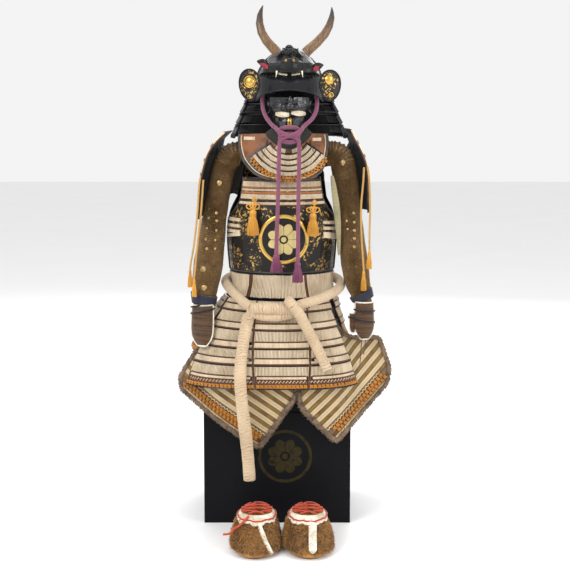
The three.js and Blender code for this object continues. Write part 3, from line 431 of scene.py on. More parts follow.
def tube_mesh(name: str, path: Sequence[Vector], radius: Union[float, Callable[[float], float]],
              sides: int = 8, flat: float = 1.0, up: Vector = Vector((0, -1, 0))) -> bpy.types.Mesh:
    """Makes a closed tube along a path, with a UV map in metres.

    Args:
        name: The mesh's name.
        path: Its centreline.
        radius: Its radius, or a function of the share along it.
        sides: Its number of sides.
        flat: How deep it is against its width, across the direction up.
        up: The direction that its thickness lies in.

    Returns:
        The mesh.
    """
    rows, total = [], 0.0
    lengths = [0.0]
    for a, b in zip(path, path[1:]):
        lengths.append(lengths[-1] + (b - a).length)
    total = lengths[-1]
    for i, p in enumerate(path):
        ahead = (path[min(i + 1, len(path) - 1)] - path[max(i - 1, 0)]).normalized()
        side = ahead.cross(up)
        side = side.normalized() if side.length > 1e-5 else ahead.orthogonal().normalized()
        over = side.cross(ahead)
        size = radius(lengths[i] / total) if callable(radius) else radius
        turns = [math.tau * k / sides for k in range(sides)]
        rows.append([p + size * (side * math.cos(t) + over * flat * math.sin(t)) for t in turns])
    size = radius(0.5) if callable(radius) else radius
    mesh = grid_mesh(name, rows, [math.tau * size * k / sides for k in range(sides)], closed=True)
    build = bmesh.new()
    build.from_mesh(mesh)
    build.verts.ensure_lookup_table()
    count = len(build.verts)
    build.faces.new([build.verts[k] for k in range(sides)][::-1])
    build.faces.new([build.verts[count - sides + k] for k in range(sides)])
    bmesh.ops.recalc_face_normals(build, faces=build.faces[:])
    build.to_mesh(mesh)
    build.free()
    return mesh


def made_mesh(build: bmesh.types.BMesh, name: str) -> bpy.types.Mesh:
    """Returns what was built as a named mesh, and frees it."""
    mesh = bpy.data.meshes.new(name)
    build.to_mesh(mesh)
    build.free()
    return mesh


def front_patch(name: str, rows: Sequence[Sequence[Vector]], thick: float) -> bpy.types.Object:
    """Returns a thin patch through rows of points, its face turned to the front."""
    part = link(grid_mesh(name, rows), f"{name}_part")
    if part.data.polygons[0].normal.y > 0:
        part.data.flip_normals()
    return solidify(part, thick)


def turned_from_front(turn: float) -> Vector:
    """Returns the level direction at an angle from the front."""
    return Vector((math.sin(turn), -math.cos(turn), 0))


def line_length(points: Sequence[Vector]) -> float:
    """Returns the length of a line through points."""
    return sum((b - a).length for a, b in zip(points, points[1:]))


def join(name: str, objects: Sequence[bpy.types.Object]) -> bpy.types.Object:
    """Joins mesh objects with no live modifiers into one new object."""
    build = bmesh.new()
    for obj in objects:
        build.from_mesh(obj.data)
    mesh = made_mesh(build, name)
    for obj in objects:
        bpy.data.objects.remove(obj)
    return link(mesh, name)


class Skin:
    """The outer surface of some CAD nodes, found with rays."""

    def __init__(self, *nodes: Union[str, bpy.types.Object]) -> None:
        """Reads the meshes of the nodes, or of pieces made here."""
        points: list[Vector] = []
        faces: list[tuple[int, ...]] = []
        for node in nodes:
            mesh = (frame["nodes"][node] if isinstance(node, str) else node).data
            start = len(points)
            points += [v.co.copy() for v in mesh.vertices]
            faces += [tuple(start + i for i in p.vertices) for p in mesh.polygons]
        self.tree = BVHTree.FromPolygons(points, faces)

    def cast(self, start: Vector, ahead: Vector, lift: float = 0.0) -> Optional[Hit]:
        """Casts a ray.

        Args:
            start: Where it starts.
            ahead: Its direction.
            lift: How far the point is held off the surface.

        Returns:
            The point met and its normal, or None.
        """
        spot, normal, _, _ = self.tree.ray_cast(start, ahead.normalized())
        if spot is None:
            return None
        if normal.dot(ahead) > 0:
            normal = -normal
        return spot + normal * lift, normal

    def front(self, x: float, z: float, lift: float = 0.0) -> Optional[Hit]:
        """Returns the point of the front at x, z and its normal."""
        return self.cast(Vector((x, -2, z)), Vector((0, 1, 0)), lift)

    def around(self, middle: Vector, degrees: float, z: float, lift: float = 0.0) -> Optional[Hit]:
        """Returns the outer point at an angle from the front, at a height, and its normal."""
        turn = math.radians(degrees)
        out = turned_from_front(turn)
        return self.cast(Vector((middle.x, middle.y, z)) + out * 2, -out, lift)


# ---------------------------------------------------------------- what repeats


def face_away(obj: bpy.types.Object, middle: Vector) -> None:
    """Turns a piece's faces so that its first one looks away from the middle."""
    face = obj.data.polygons[0]
    if face.normal.dot(face.center - middle) < 0:
        obj.data.flip_normals()


def struck(hits: Iterable[Optional[Hit]]) -> list[Vector]:
    """Returns the places of the rays that hit, in order."""
    return [hit[0] for hit in hits if hit]


class Tree:
    """A Geometry Nodes tree built in the script, with named inputs."""

    def __init__(self, name: str, **sizes: float) -> None:
        """Makes the tree with one number input for each size."""
        self.group = bpy.data.node_groups.new(name, "GeometryNodeTree")
        faces = self.group.interface
        faces.new_socket("Geometry", in_out="INPUT", socket_type="NodeSocketGeometry")
        self.ids: dict[str, str] = {}
        for key, kind in (("Piece", "NodeSocketObject"), ("Finish", "NodeSocketMaterial"),
                          ("Seed", "NodeSocketInt")):
            self.ids[key] = faces.new_socket(key, in_out="INPUT", socket_type=kind).identifier
        for key, value in sizes.items():
            socket = faces.new_socket(key, in_out="INPUT", socket_type="NodeSocketFloat")
            socket.default_value = value
            self.ids[key] = socket.identifier
        faces.new_socket("Geometry", in_out="OUTPUT", socket_type="NodeSocketGeometry")
        self.input = self.group.nodes.new("NodeGroupInput")
        self.output = self.group.nodes.new("NodeGroupOutput")

    def node(self, kind: str, settings: Optional[dict] = None,
             inputs: Optional[dict] = None) -> bpy.types.Node:
        """Adds a node with its settings, then its values and links."""
        node = self.group.nodes.new(kind)
        for key, value in (settings or {}).items():
            setattr(node, key, value)
        for key, value in (inputs or {}).items():
            if isinstance(value, bpy.types.NodeSocket):
                self.group.links.new(value, node.inputs[key])
            else:
                node.inputs[key].default_value = value
        return node

    def attribute(self, name: str, kind: str = "FLOAT_VECTOR") -> bpy.types.NodeSocket:
        """Returns a named attribute of the points."""
        read = self.node("GeometryNodeInputNamedAttribute", {"data_type": kind}, {"Name": name})
        return read.outputs["Attribute"]

    def varied(self) -> bpy.types.NodeSocket:
        """Returns the scale, varied by chance by up to the share Jitter."""
        chance = self.node("FunctionNodeRandomValue", {"data_type": "FLOAT"},
                           {2: -1.0, 3: 1.0, "Seed": self.input.outputs["Seed"]})
        grow = self.node("ShaderNodeMath", {"operation": "MULTIPLY_ADD"},
                         {0: chance.outputs[1], 1: self.input.outputs["Jitter"],
                          2: self.input.outputs["Scale"]})
        return grow.outputs[0]

    def end_in_copies(self, points: bpy.types.NodeSocket, turn: bpy.types.NodeSocket,
                      scale: bpy.types.NodeSocket) -> None:
        """Ends the tree in a copy of the piece on each point."""
        info = self.node("GeometryNodeObjectInfo", None, {"Object": self.input.outputs["Piece"]})
        put = self.node("GeometryNodeInstanceOnPoints", None,
                        {"Points": points, "Instance": info.outputs["Geometry"],
                         "Rotation": turn, "Scale": scale})
        self.end(put.outputs[0])

    def end(self, geometry: bpy.types.NodeSocket) -> None:
        """Ends the tree in Realize Instances and Set Material."""
        plain = self.node("GeometryNodeRealizeInstances", None, {0: geometry})
        dressed = self.node("GeometryNodeSetMaterial", None,
                            {"Geometry": plain.outputs[0], "Material": self.input.outputs["Finish"]})
        self.group.links.new(dressed.outputs[0], self.output.inputs[0])

    def run(self, obj: bpy.types.Object, finish: bpy.types.Material,
            piece: Optional[bpy.types.Object] = None,
            seed: int = 1, **sizes: float) -> bpy.types.Object:
        """Runs the tree on an object and makes the result its plain mesh.

        Args:
            obj: The object whose mesh the tree reads.
            finish: The material of the result.
            piece: The object that is repeated, where there is one.
            seed: The seed of what is random.
            sizes: Values of the named inputs.

        Returns:
            The same object with the new mesh.
        """
        live = obj.modifiers.new("repeat", "NODES")
        live.node_group = self.group
        live[self.ids["Finish"]] = finish
        live[self.ids["Seed"]] = seed
        if piece is not None:
            live[self.ids["Piece"]] = piece
        for key, value in sizes.items():
            live[self.ids[key]] = float(value)
        return bake(obj)


def cords_tree() -> Tree:
    """Returns the tree that turns polylines into thin cords: radius, sides and depth are its sizes."""
    tree = Tree("cords", Radius=0.0015, Sides=5.0, Depth=1.0)
    curve = tree.node("GeometryNodeMeshToCurve", None, {0: tree.input.outputs["Geometry"]})
    ring = tree.node("GeometryNodeCurvePrimitiveCircle", None,
                     {"Resolution": tree.input.outputs["Sides"], "Radius": tree.input.outputs["Radius"]})
    size = tree.node("ShaderNodeCombineXYZ", None, {0: 1.0, 1: tree.input.outputs["Depth"], 2: 1.0})
    profile = tree.node("GeometryNodeTransform", None,
                        {"Geometry": ring.outputs[0], "Scale": size.outputs[0]})
    cord = tree.node("GeometryNodeCurveToMesh", None,
                     {"Curve": curve.outputs[0], "Profile Curve": profile.outputs[0], "Fill Caps": True})
    tree.end(cord.outputs[0])
    return tree


def repeat_tree() -> Tree:
    """Returns the tree that puts a piece on each point, by the point's own facing, along and size."""
    tree = Tree("repeat", Scale=1.0, Jitter=0.0)
    first = tree.node("FunctionNodeAlignEulerToVector", {"axis": "Z"}, {"Vector": tree.attribute("facing")})
    turned = tree.node("FunctionNodeAlignEulerToVector", {"axis": "X", "pivot_axis": "Z"},
                       {"Rotation": first.outputs[0], "Vector": tree.attribute("along")})
    scale = tree.node("ShaderNodeMath", {"operation": "MULTIPLY"},
                      {0: tree.varied(), 1: tree.attribute("size", "FLOAT")})
    tree.end_in_copies(tree.input.outputs["Geometry"], turned.outputs[0], scale.outputs[0])
    return tree


def hair_tree() -> Tree:
    """Returns the tree that covers a surface with hairs lying down its slope."""
    tree = Tree("hair", Density=40000.0, Scale=1.0, Jitter=0.3, Lie=0.6, Spread=0.35)
    spots = tree.node("GeometryNodeDistributePointsOnFaces", {"distribute_method": "RANDOM"},
                      {"Mesh": tree.input.outputs["Geometry"], "Density": tree.input.outputs["Density"],
                       "Seed": tree.input.outputs["Seed"]})
    wild = tree.node("FunctionNodeRandomValue", {"data_type": "FLOAT_VECTOR"},
                     {0: (-1, -1, -1), 1: (1, 1, 1), "Seed": tree.input.outputs["Seed"]})
    loose = tree.node("ShaderNodeVectorMath", {"operation": "SCALE"},
                      {0: wild.outputs[0], "Scale": tree.input.outputs["Spread"]})
    down = tree.node("ShaderNodeVectorMath", {"operation": "SCALE"},
                     {0: tree.attribute("lie"), "Scale": tree.input.outputs["Lie"]})
    ahead = tree.node("ShaderNodeVectorMath", {"operation": "ADD"},
                      {0: spots.outputs["Normal"], 1: down.outputs[0]})
    messy = tree.node("ShaderNodeVectorMath", {"operation": "ADD"},
                      {0: ahead.outputs[0], 1: loose.outputs[0]})
    turn = tree.node("FunctionNodeAlignEulerToVector", {"axis": "Z"}, {"Vector": messy.outputs[0]})
    tree.end_in_copies(spots.outputs["Points"], turn.outputs[0], tree.varied())
    return tree


@dataclass
class Spot:
    """One place of a repeated piece: where it is, which way it faces, its length's way and its size."""

    at: Vector
    facing: Vector
    along: Vector
    size: float = 1.0


class Repeats:
    """The trees that all sub-assemblies share."""

    def __init__(self) -> None:
        """Builds the three trees."""
        self.cords = cords_tree()
        self.repeat = repeat_tree()
        self.hair = hair_tree()

    def lay_cords(self, name: str, lines: Sequence[Sequence[Vector]], radius: float,
                  finish: bpy.types.Material,
                  slot: str, sides: int = 5, depth: float = 1.0) -> bpy.types.Object:
        """Lays a cord along each line.

        Args:
            name: The piece's name.
            lines: The cords' centrelines.
            radius: Their radius.
            finish: Their material.
            slot: Not used.
            sides: The number of sides of each cord.
            depth: How deep a cord is against its width.

        Returns:
            The cords as one piece.
        """
        mesh = bpy.data.meshes.new(name)
        points: list[Vector] = []
        edges: list[tuple[int, int]] = []
        for line in lines:
            start = len(points)
            points += list(line)
            edges += [(start + i, start + i + 1) for i in range(len(line) - 1)]
        mesh.from_pydata(points, edges, [])
        obj = self.cords.run(link(mesh, name), finish, Radius=radius, Sides=sides, Depth=depth)
        obj.data.shade_smooth()
        return settle(obj, finish, slot)

    def put(self, name: str, spots: Sequence[Spot], piece: bpy.types.Mesh, finish: bpy.types.Material,
            slot: str,
            jitter: float = 0.0, seed: int = 1, flat: bool = False) -> bpy.types.Object:
        """Puts a copy of a small mesh at each spot.

        Args:
            name: The piece's name.
            spots: The places.
            piece: The mesh that is repeated; its Z faces out and its X lies along.
            finish: Its material.
            slot: Not used.
            jitter: How much the sizes vary.
            seed: The seed of that.
            flat: Whether the faces stay flat.

        Returns:
            All copies as one piece.
        """
        mesh = bpy.data.meshes.new(name)
        mesh.from_pydata([s.at for s in spots], [], [])
        for key, values in (("facing", [s.facing for s in spots]), ("along", [s.along for s in spots])):
            layer = mesh.attributes.new(key, "FLOAT_VECTOR", "POINT")
            layer.data.foreach_set("vector", [c for v in values for c in v])
        mesh.attributes.new("size", "FLOAT", "POINT").data.foreach_set("value", [s.size for s in spots])
        pattern = link(piece, name + "_pattern")
        obj = self.repeat.run(link(mesh, name), finish, pattern, seed, Jitter=jitter)
        bpy.data.objects.remove(pattern)
        if not flat:
            smooth(obj, 50)
        return settle(obj, finish, slot)

    def fur(self, name: str, skin: bpy.types.Object, finish: bpy.types.Material, slot: str, length: float,
            density: float, lie: Callable[[Vector], Vector], seed: int,
            spread: float = 0.35) -> bpy.types.Object:
        """Covers a surface with hairs.

        Args:
            name: The piece's name.
            skin: The surface, which this uses up.
            finish: The hairs' material.
            slot: Not used.
            length: The hairs' length.
            density: How many stand on a square metre.
            lie: The way the hairs lean at a point.
            seed: The seed of their places.
            spread: How untidy they are.

        Returns:
            The hairs as one piece.
        """
        layer = skin.data.attributes.new("lie", "FLOAT_VECTOR", "POINT")
        layer.data.foreach_set("vector", [c for v in skin.data.vertices for c in lie(v.co)])
        w = 0.0011
        hair = bpy.data.meshes.new(name + "_hair")
        bend = [(0, 0, 0), (0.12, 0, 0.5), (0.42, 0, 0.95)]
        corners = [(-w, 0, 0), (w, 0, 0), (0, w, 0)]
        points = [Vector((bx * length, 0, bz * length)) + Vector(c) * k
                  for (bx, _, bz), k in zip(bend, (1.0, 0.8, 0.12)) for c in corners]
        faces = [(3 * r + k, 3 * r + (k + 1) % 3, 3 * r + 3 + (k + 1) % 3, 3 * r + 3 + k)
                 for r in range(2) for k in range(3)] + [(2, 1, 0), (6, 7, 8)]
        hair.from_pydata(points, [], faces)
        pattern = link(hair, name + "_pattern")
        skin.name = name
        obj = self.hair.run(skin, finish, pattern, seed, Density=density, Spread=spread)
        bpy.data.objects.remove(pattern)
        obj.data.shade_smooth()
        return settle(obj, finish, slot)


# ---------------------------------------------------------------- finishes


@dataclass(frozen=True)
class Lacquer:
    """Polished lacquer with faint hand marks, dust and rubbed spots."""

    name: str
    colour: Colour = (0.012, 0.011, 0.013)
    rubbed: Colour = (0.06, 0.04, 0.025)
    rough: float = 0.22
    dents: float = 0.5
    gloss: float = 0.25
    crest: Optional[tuple[float, float, float]] = None
    crest_colour: Colour = (0.075, 0.062, 0.024)

    def make(self) -> bpy.types.Material:
        """Returns the material."""
        s = Shade(self.name, Coat_Weight=self.gloss * 0.4, Coat_Roughness=0.08,
                  Specular_IOR_Level=self.gloss)
        soft = s.noise(9, 4)
        worn = s.noise(38, 6, 0.7).ramp(0.62, 0.8)
        colour = s.mix(worn * 0.55, s.mix(soft * 0.5, self.colour, tuple(c * 1.9 for c in self.colour)),
                       self.rubbed)
        rough = self.rough + soft * 0.1 + worn * 0.22
        height = s.noise(26, 3) * self.dents + s.noise(240, 2) * 0.06
        if self.crest:
            ring, lobes = rosette(s, *self.crest)
            colour = s.mix((ring + lobes).least(1) * s.noise(60, 4).ramp(0.2, 0.55), colour,
                           self.crest_colour)
            height = height + ring * 0.3 + lobes * 0.3
        return s.finish(colour, rough, height, 0.0012)


def rosette(s: Shade, x: float, z: float, size: float) -> tuple[Value, Value]:
    """Draws a plain ring round a lobed rosette, on the front and back of a piece.

    Args:
        s: The material.
        x: The middle's X.
        z: The middle's Z.
        size: The ring's outer radius.

    Returns:
        The masks of the ring and of the rosette.
    """
    px, _, pz = s.place()
    dx, dz = px - x, pz - z
    reach = (dx * dx + dz * dz).root()
    turn = s.math("ARCTAN2", dz, dx)
    ring = reach.ramp(size * 0.86, size * 0.885) * reach.ramp(size, size * 0.975)
    edge = 0.5 + abs((turn * 4).sine()) * 0.16
    body = (reach / size).math("SUBTRACT", edge).ramp(0.012, -0.012)
    veins = abs((turn * 4).sine()).ramp(0.03, 0.12)
    eye = reach.ramp(size * 0.17, size * 0.19)
    seed = reach.ramp(size * 0.12, size * 0.1)
    return ring, (body * veins * eye + seed).least(1)


@dataclass(frozen=True)
class GiltLeather:
    """Black leather stencilled with gold scrolls, rubbed away in places."""

    name: str
    gold: Colour = (0.42, 0.26, 0.075)
    dark: Colour = (0.012, 0.01, 0.009)
    scale: float = 62.0
    cover: float = 0.5
    crest: Optional[tuple[float, float, float]] = None

    def make(self) -> bpy.types.Material:
        """Returns the material."""
        s = Shade(self.name, Specular_IOR_Level=0.2, Coat_Weight=0.12, Coat_Roughness=0.2)
        x, y, z = s.place()
        wild, wander = s.noise(self.scale * 0.35, 2), s.noise(self.scale * 0.4, 2, at=s.vector(z, x, y))
        at = s.vector(x + (wild - 0.5) * 0.03, y, z + (wander - 0.5) * 0.03)
        scroll = s.cells(self.scale, at, "SMOOTH_F1")
        curls = ((scroll * 15 + wild * 9).sine()).ramp(-0.1, 0.3)
        leaf = s.noise(self.scale * 2.1, 3, at=at).ramp(0.46, 0.54)
        rub = s.noise(21, 5, 0.65)
        mask = (curls * leaf + s.noise(self.scale * 5, 2).ramp(0.62, 0.68) * 0.6).least(1)
        mask = mask * rub.ramp(0.72 - self.cover * 0.5, 0.5)
        tone = s.mix(s.noise(14, 3).ramp(0.35, 0.65), self.gold, tuple(c * 1.6 for c in self.gold))
        colour = s.mix(mask, s.mix(rub.ramp(0.45, 0.75), self.dark, (0.035, 0.03, 0.028)), tone)
        height = mask * 0.5 + s.noise(300, 2) * 0.3
        if self.crest:
            ring, lobes = rosette(s, *self.crest)
            cx, cz, size = self.crest
            reach = ((x - cx) * (x - cx) + (z - cz) * (z - cz)).root()
            inside = reach.ramp(size * 1.04, size * 1.01) * (y < 0)
            face = s.mix((ring + lobes).least(1), self.dark,
                         s.mix(s.noise(40, 4), (0.5, 0.36, 0.12), (0.72, 0.6, 0.3)))
            colour = s.mix(inside, colour, face)
            mask = s.math("MAXIMUM", mask * (1 - inside), (ring + lobes) * inside, clamp=True)
            height = height * (1 - inside) + mask * inside
        return s.finish(colour, 0.5 - mask * 0.12, height, 0.0008, mask * 0.55)


@dataclass(frozen=True)
class Silk:
    """Silk or cotton thread with a fine lay across the cords."""

    name: str
    colour: Colour
    shade: Colour
    grain: float = 900.0
    rough: float = 0.62
    dirt: float = 0.35
    sheen: float = 0.3

    def make(self) -> bpy.types.Material:
        """Returns the material."""
        s = Shade(self.name, Specular_IOR_Level=0.35, Sheen_Weight=self.sheen, Sheen_Roughness=0.4)
        x, y, z = s.place()
        lay = ((x + y * 0.6) * self.grain + z * self.grain * 1.4).sine() * 0.5 + 0.5
        cord = s.chance((x * 280).floor(), (z * 20).floor())
        stain = s.noise(18, 5, 0.65).ramp(0.4, 0.75)
        strand = s.chance((x * 900 + y * 430).floor(), (z * 9).floor())
        colour = s.mix((stain * self.dirt + cord * 0.2 + strand * 0.28 + lay * 0.14).least(1), self.colour,
                       self.shade)
        return s.finish(colour, self.rough + stain * 0.15, lay * 0.6 + s.noise(1500, 2) * 0.4, 0.0003)


@dataclass(frozen=True)
class Braid:
    """A round braid, whose strands cross in chevrons; it reads the piece's own UV map."""

    name: str
    colour: Colour
    shade: Colour
    pitch: float = 0.0062
    strands: int = 4
    radius: float = 0.006

    def make(self) -> bpy.types.Material:
        """Returns the material."""
        s = Shade(self.name, Specular_IOR_Level=0.35, Sheen_Weight=0.35, Sheen_Roughness=0.4)
        u, v, _ = s.place("UV")
        turn = u * (self.strands / (math.tau * self.radius))
        fold = turn.wave(1.0)
        rise = (v / self.pitch + fold).fract()
        strand = (rise - 0.5) * 2
        height = (1 - strand * strand) * (1 - fold.ramp(0.75, 1.0) * 0.5)
        # Painted shade: the grooves between the strands are darkened towards the shade colour.
        groove_shade = abs(strand).ramp(0.55, 1.0)
        tone = s.chance((v / self.pitch + fold).floor(), turn.floor())
        fibre = (u * 5200 + v * 3100).sine() * 0.5 + 0.5
        colour = s.mix((groove_shade * 0.75 + tone * 0.2 + fibre * 0.12).least(1), self.colour, self.shade)
        return s.finish(colour, 0.6, height + fibre * 0.1, 0.0012)


@dataclass(frozen=True)
class Leather:
    """Leather with pores, creases and dark rubbed edges."""

    name: str
    colour: Colour
    dark: Colour
    rough: float = 0.48
    grain: float = 420.0

    def make(self) -> bpy.types.Material:
        """Returns the material."""
        s = Shade(self.name, Specular_IOR_Level=0.4, Coat_Weight=0.1, Coat_Roughness=0.35)
        stain = s.noise(24, 6, 0.7)
        pores = s.cells(self.grain)
        colour = s.mix(stain.ramp(0.35, 0.7), self.colour, self.dark)
        colour = s.mix(s.noise(95, 4).ramp(0.6, 0.72) * 0.5, colour, tuple(c * 0.35 for c in self.dark))
        return s.finish(colour, self.rough + stain * 0.15, pores * 0.5 + s.noise(60, 5) * 0.6, 0.0008)


@dataclass(frozen=True)
class Horn:
    """Brown wood painted like horn, with streaks along it and a dark tip."""

    name: str
    low: float
    high: float

    def make(self) -> bpy.types.Material:
        """Returns the material."""
        s = Shade(self.name, Specular_IOR_Level=0.45, Coat_Weight=0.25, Coat_Roughness=0.2)
        x, y, z = s.place()
        streak = s.noise(70, 5, 0.65, at=s.vector(x * 3.2, y * 3.2, z * 0.35))
        fine = s.noise(260, 3, 0.6, at=s.vector(x * 3, y * 3, z * 0.2))
        up = (z - self.low) / (self.high - self.low)
        brown = s.mix(streak.ramp(0.35, 0.65), (0.20, 0.105, 0.04), (0.10, 0.047, 0.018))
        brown = s.mix(fine.ramp(0.55, 0.7) * 0.6, brown, (0.045, 0.022, 0.012))
        colour = s.mix((up + streak * 0.12).ramp(0.38, 0.98), brown, (0.02, 0.014, 0.011))
        return s.finish(colour, 0.34 + streak * 0.16, streak * 0.7 + fine * 0.3, 0.0014)


@dataclass(frozen=True)
class MailCloth:
    """Dark brocade that the mail is sewn to, with small gold flecks."""

    name: str
    colour: Colour = (0.115, 0.062, 0.024)
    fleck: Colour = (0.62, 0.38, 0.15)
    pitch: float = 0.0066

    def make(self) -> bpy.types.Material:
        """Returns the material."""
        s = Shade(self.name, Specular_IOR_Level=0.3, Sheen_Weight=0.2)
        u, v, _ = s.place("UV")
        weave = (u * (math.tau / 0.0011)).sine() * (v * (math.tau / 0.0011)).sine()
        column = (u / self.pitch + (v / self.pitch).floor() * 0.5).fract() - 0.5
        row = (v / self.pitch).fract() - 0.5
        reach = (column * column + row * row).root()
        ring = reach.ramp(0.24, 0.32) * reach.ramp(0.46, 0.38)
        patch = s.noise(16, 5, 0.65).ramp(0.3, 0.7) * 0.55 + s.noise(190, 3, 0.7).ramp(0.5, 0.62) * 0.5
        colour = s.mix(patch.least(1), self.colour, self.fleck)
        colour = s.mix(ring * 0.6, colour, (0.021, 0.014, 0.010))
        return s.finish(colour, 0.6 - ring * 0.18, weave * 0.15 + ring * 0.8 + s.noise(500, 2) * 0.2,
                        0.0012, ring * 0.5)


@dataclass(frozen=True)
class Metal:
    """Cast or drawn metal with tarnish in its hollows."""

    name: str
    colour: Colour
    tarnish: Colour
    rough: float = 0.35
    amount: float = 0.5

    def make(self) -> bpy.types.Material:
        """Returns the material."""
        s = Shade(self.name, Specular_IOR_Level=0.5)
        stain = s.noise(65, 5, 0.7)
        mask = stain.ramp(0.72 - self.amount * 0.35, 0.78 - self.amount * 0.2)
        colour = s.mix(mask, self.colour, self.tarnish)
        return s.finish(colour, self.rough + mask * 0.3, stain * 0.6 + s.noise(700, 2) * 0.2, 0.0006,
                        1 - mask * 0.5)


@dataclass(frozen=True)
class Wrapped:
    """Cotton cloth wound round a roll; its turns lie across the piece's own UV map."""

    name: str
    colour: Colour = (0.66, 0.50, 0.325)
    shade: Colour = (0.27, 0.155, 0.075)
    pitch: float = 0.0085

    def make(self) -> bpy.types.Material:
        """Returns the material."""
        s = Shade(self.name, Specular_IOR_Level=0.25, Sheen_Weight=0.25)
        u, v, _ = s.place("UV")
        drift = s.noise(32, 3)
        turns = (v / self.pitch + u * 9 + drift * 3.2).fract()
        crease = turns.ramp(0.16, 0.0) + turns.ramp(0.9, 1.0)
        pull = s.noise(90, 4, 0.6, at=s.vector(u * 0.5, v * 3.2)).ramp(0.35, 0.7)
        age = s.noise(11, 4).ramp(0.4, 0.7)
        weave = (u * 5700).sine() * (v * 5700).sine()
        deep = s.noise(23, 2).ramp(0.35, 0.65)
        # Painted shade: the creases between the turns are darkened towards the shade colour, more where
        # deep is high; pull and age are the cloth's own marks.
        colour = s.mix((crease * (0.25 + deep * 0.5) + pull * 0.14 + age * 0.2).least(1), self.colour,
                       self.shade)
        return s.finish(colour, 0.8, pull * 0.35 + (1 - crease * deep) * 0.8 + weave * 0.04, 0.0022)


@dataclass(frozen=True)
class Pelt:
    """Fur or hide under and in the hair."""

    name: str
    root: Colour
    tip: Colour
    rough: float = 0.75

    def make(self) -> bpy.types.Material:
        """Returns the material."""
        s = Shade(self.name, Specular_IOR_Level=0.25, Sheen_Weight=0.3)
        tone = s.noise(60, 5, 0.7)
        strand = s.noise(900, 3)
        colour = s.mix((tone.ramp(0.3, 0.7) * 0.7 + strand * 0.4).least(1), self.root, self.tip)
        colour = s.mix(s.noise(17, 4, 0.6).ramp(0.48, 0.62) * 0.55, colour, self.root)
        return s.finish(colour, self.rough, strand * 0.8 + tone * 0.5, 0.0009)


@dataclass(frozen=True)
class Stripes:
    """Brocade woven in stripes that follow the piece's own UV map."""

    name: str
    colours: tuple[Colour, Colour, Colour]
    pitch: float
    worn: float = 0.4

    def make(self) -> bpy.types.Material:
        """Returns the material."""
        s = Shade(self.name, Specular_IOR_Level=0.3, Sheen_Weight=0.3)
        u, v, _ = s.place("UV")
        band = (v / self.pitch).fract()
        rib = (v / 0.0016).fract().wave(1.0)
        thread = (u * 4200).sine() * 0.5 + 0.5
        first, second, third = self.colours
        colour = s.mix(band.ramp(0.30, 0.34) * band.ramp(0.72, 0.68), first, second)
        colour = s.mix(band.ramp(0.44, 0.47) * band.ramp(0.58, 0.55), colour, third)
        stain = s.noise(34, 5, 0.7).ramp(0.4, 0.75)
        colour = s.mix((stain * self.worn + thread * 0.15).least(1), colour, tuple(c * 0.4 for c in first))
        return s.finish(colour, 0.7, rib * 0.5 + thread * 0.3, 0.0007)


# ---------------------------------------------------------------- studio


@dataclass
class Studio:
    """The camera, the pale floor and the soft lights."""

    place: Point = (0.024, -4.5, 1.37)
    tilt: float = 81.7
    lens: float = 91.7

    def build(self) -> None:
        """Makes the camera, the floor, the world and the lights."""
        data = bpy.data.cameras.new("camera")
        data.lens, data.sensor_width = self.lens, 36.0
        camera = link(data, "camera")
        camera.location = self.place
        camera.rotation_euler = (math.radians(self.tilt), 0, 0)
        bpy.context.scene.camera = camera
        self.floor()
        world = bpy.data.worlds.new("studio")
        bpy.context.scene.world = world
        world.use_nodes = True
        world.node_tree.nodes["Background"].inputs[0].default_value = (1.0, 1.0, 1.0, 1.0)
        world.node_tree.nodes["Background"].inputs[1].default_value = 0.9
        bpy.context.scene.view_settings.view_transform = "Standard"
        self.light("key", (-2.6, -3.4, 3.6), (0, 0, 0.9), 2.4, 120)
        self.light("fill", (3.2, -2.6, 2.2), (0, 0, 0.9), 2.2, 60)
        self.light("top", (0.0, 0.6, 4.0), (0, 0, 1.0), 2.6, 60)
        self.light("back", (0.6, 3.6, 2.4), (0, 0, 1.0), 2.6, 55)

    @staticmethod
    def floor() -> None:
        """Makes the floor of pale paper."""
        mesh = bpy.data.meshes.new("floor")
        mesh.from_pydata([(-14, -14, 0), (14, -14, 0), (14, 14, 0), (-14, 14, 0)], [], [(0, 1, 2, 3)])
        floor = link(mesh, "floor")
        s = Shade("pale_paper", Specular_IOR_Level=0.1)
        colour = s.mix(s.noise(2, 3), (0.86, 0.86, 0.86), (0.9, 0.9, 0.9))
        mesh.materials.append(s.finish(colour, 0.9))

    @staticmethod
    def light(name: str, place: Point, aim: Point, size: float, power: float) -> None:
        """Makes one large soft area light.

        Args:
            name: Its name.
            place: Where it stands.
            aim: What it points at.
            size: Its side, in metres.
            power: Its power, in watts.
        """
        data = bpy.data.lights.new(name, "AREA")
        data.size, data.energy = size, power
        lamp = link(data, name)
        lamp.location = place
        lamp.rotation_euler = (Vector(aim) - Vector(place)).to_track_quat("-Z", "Y").to_euler()


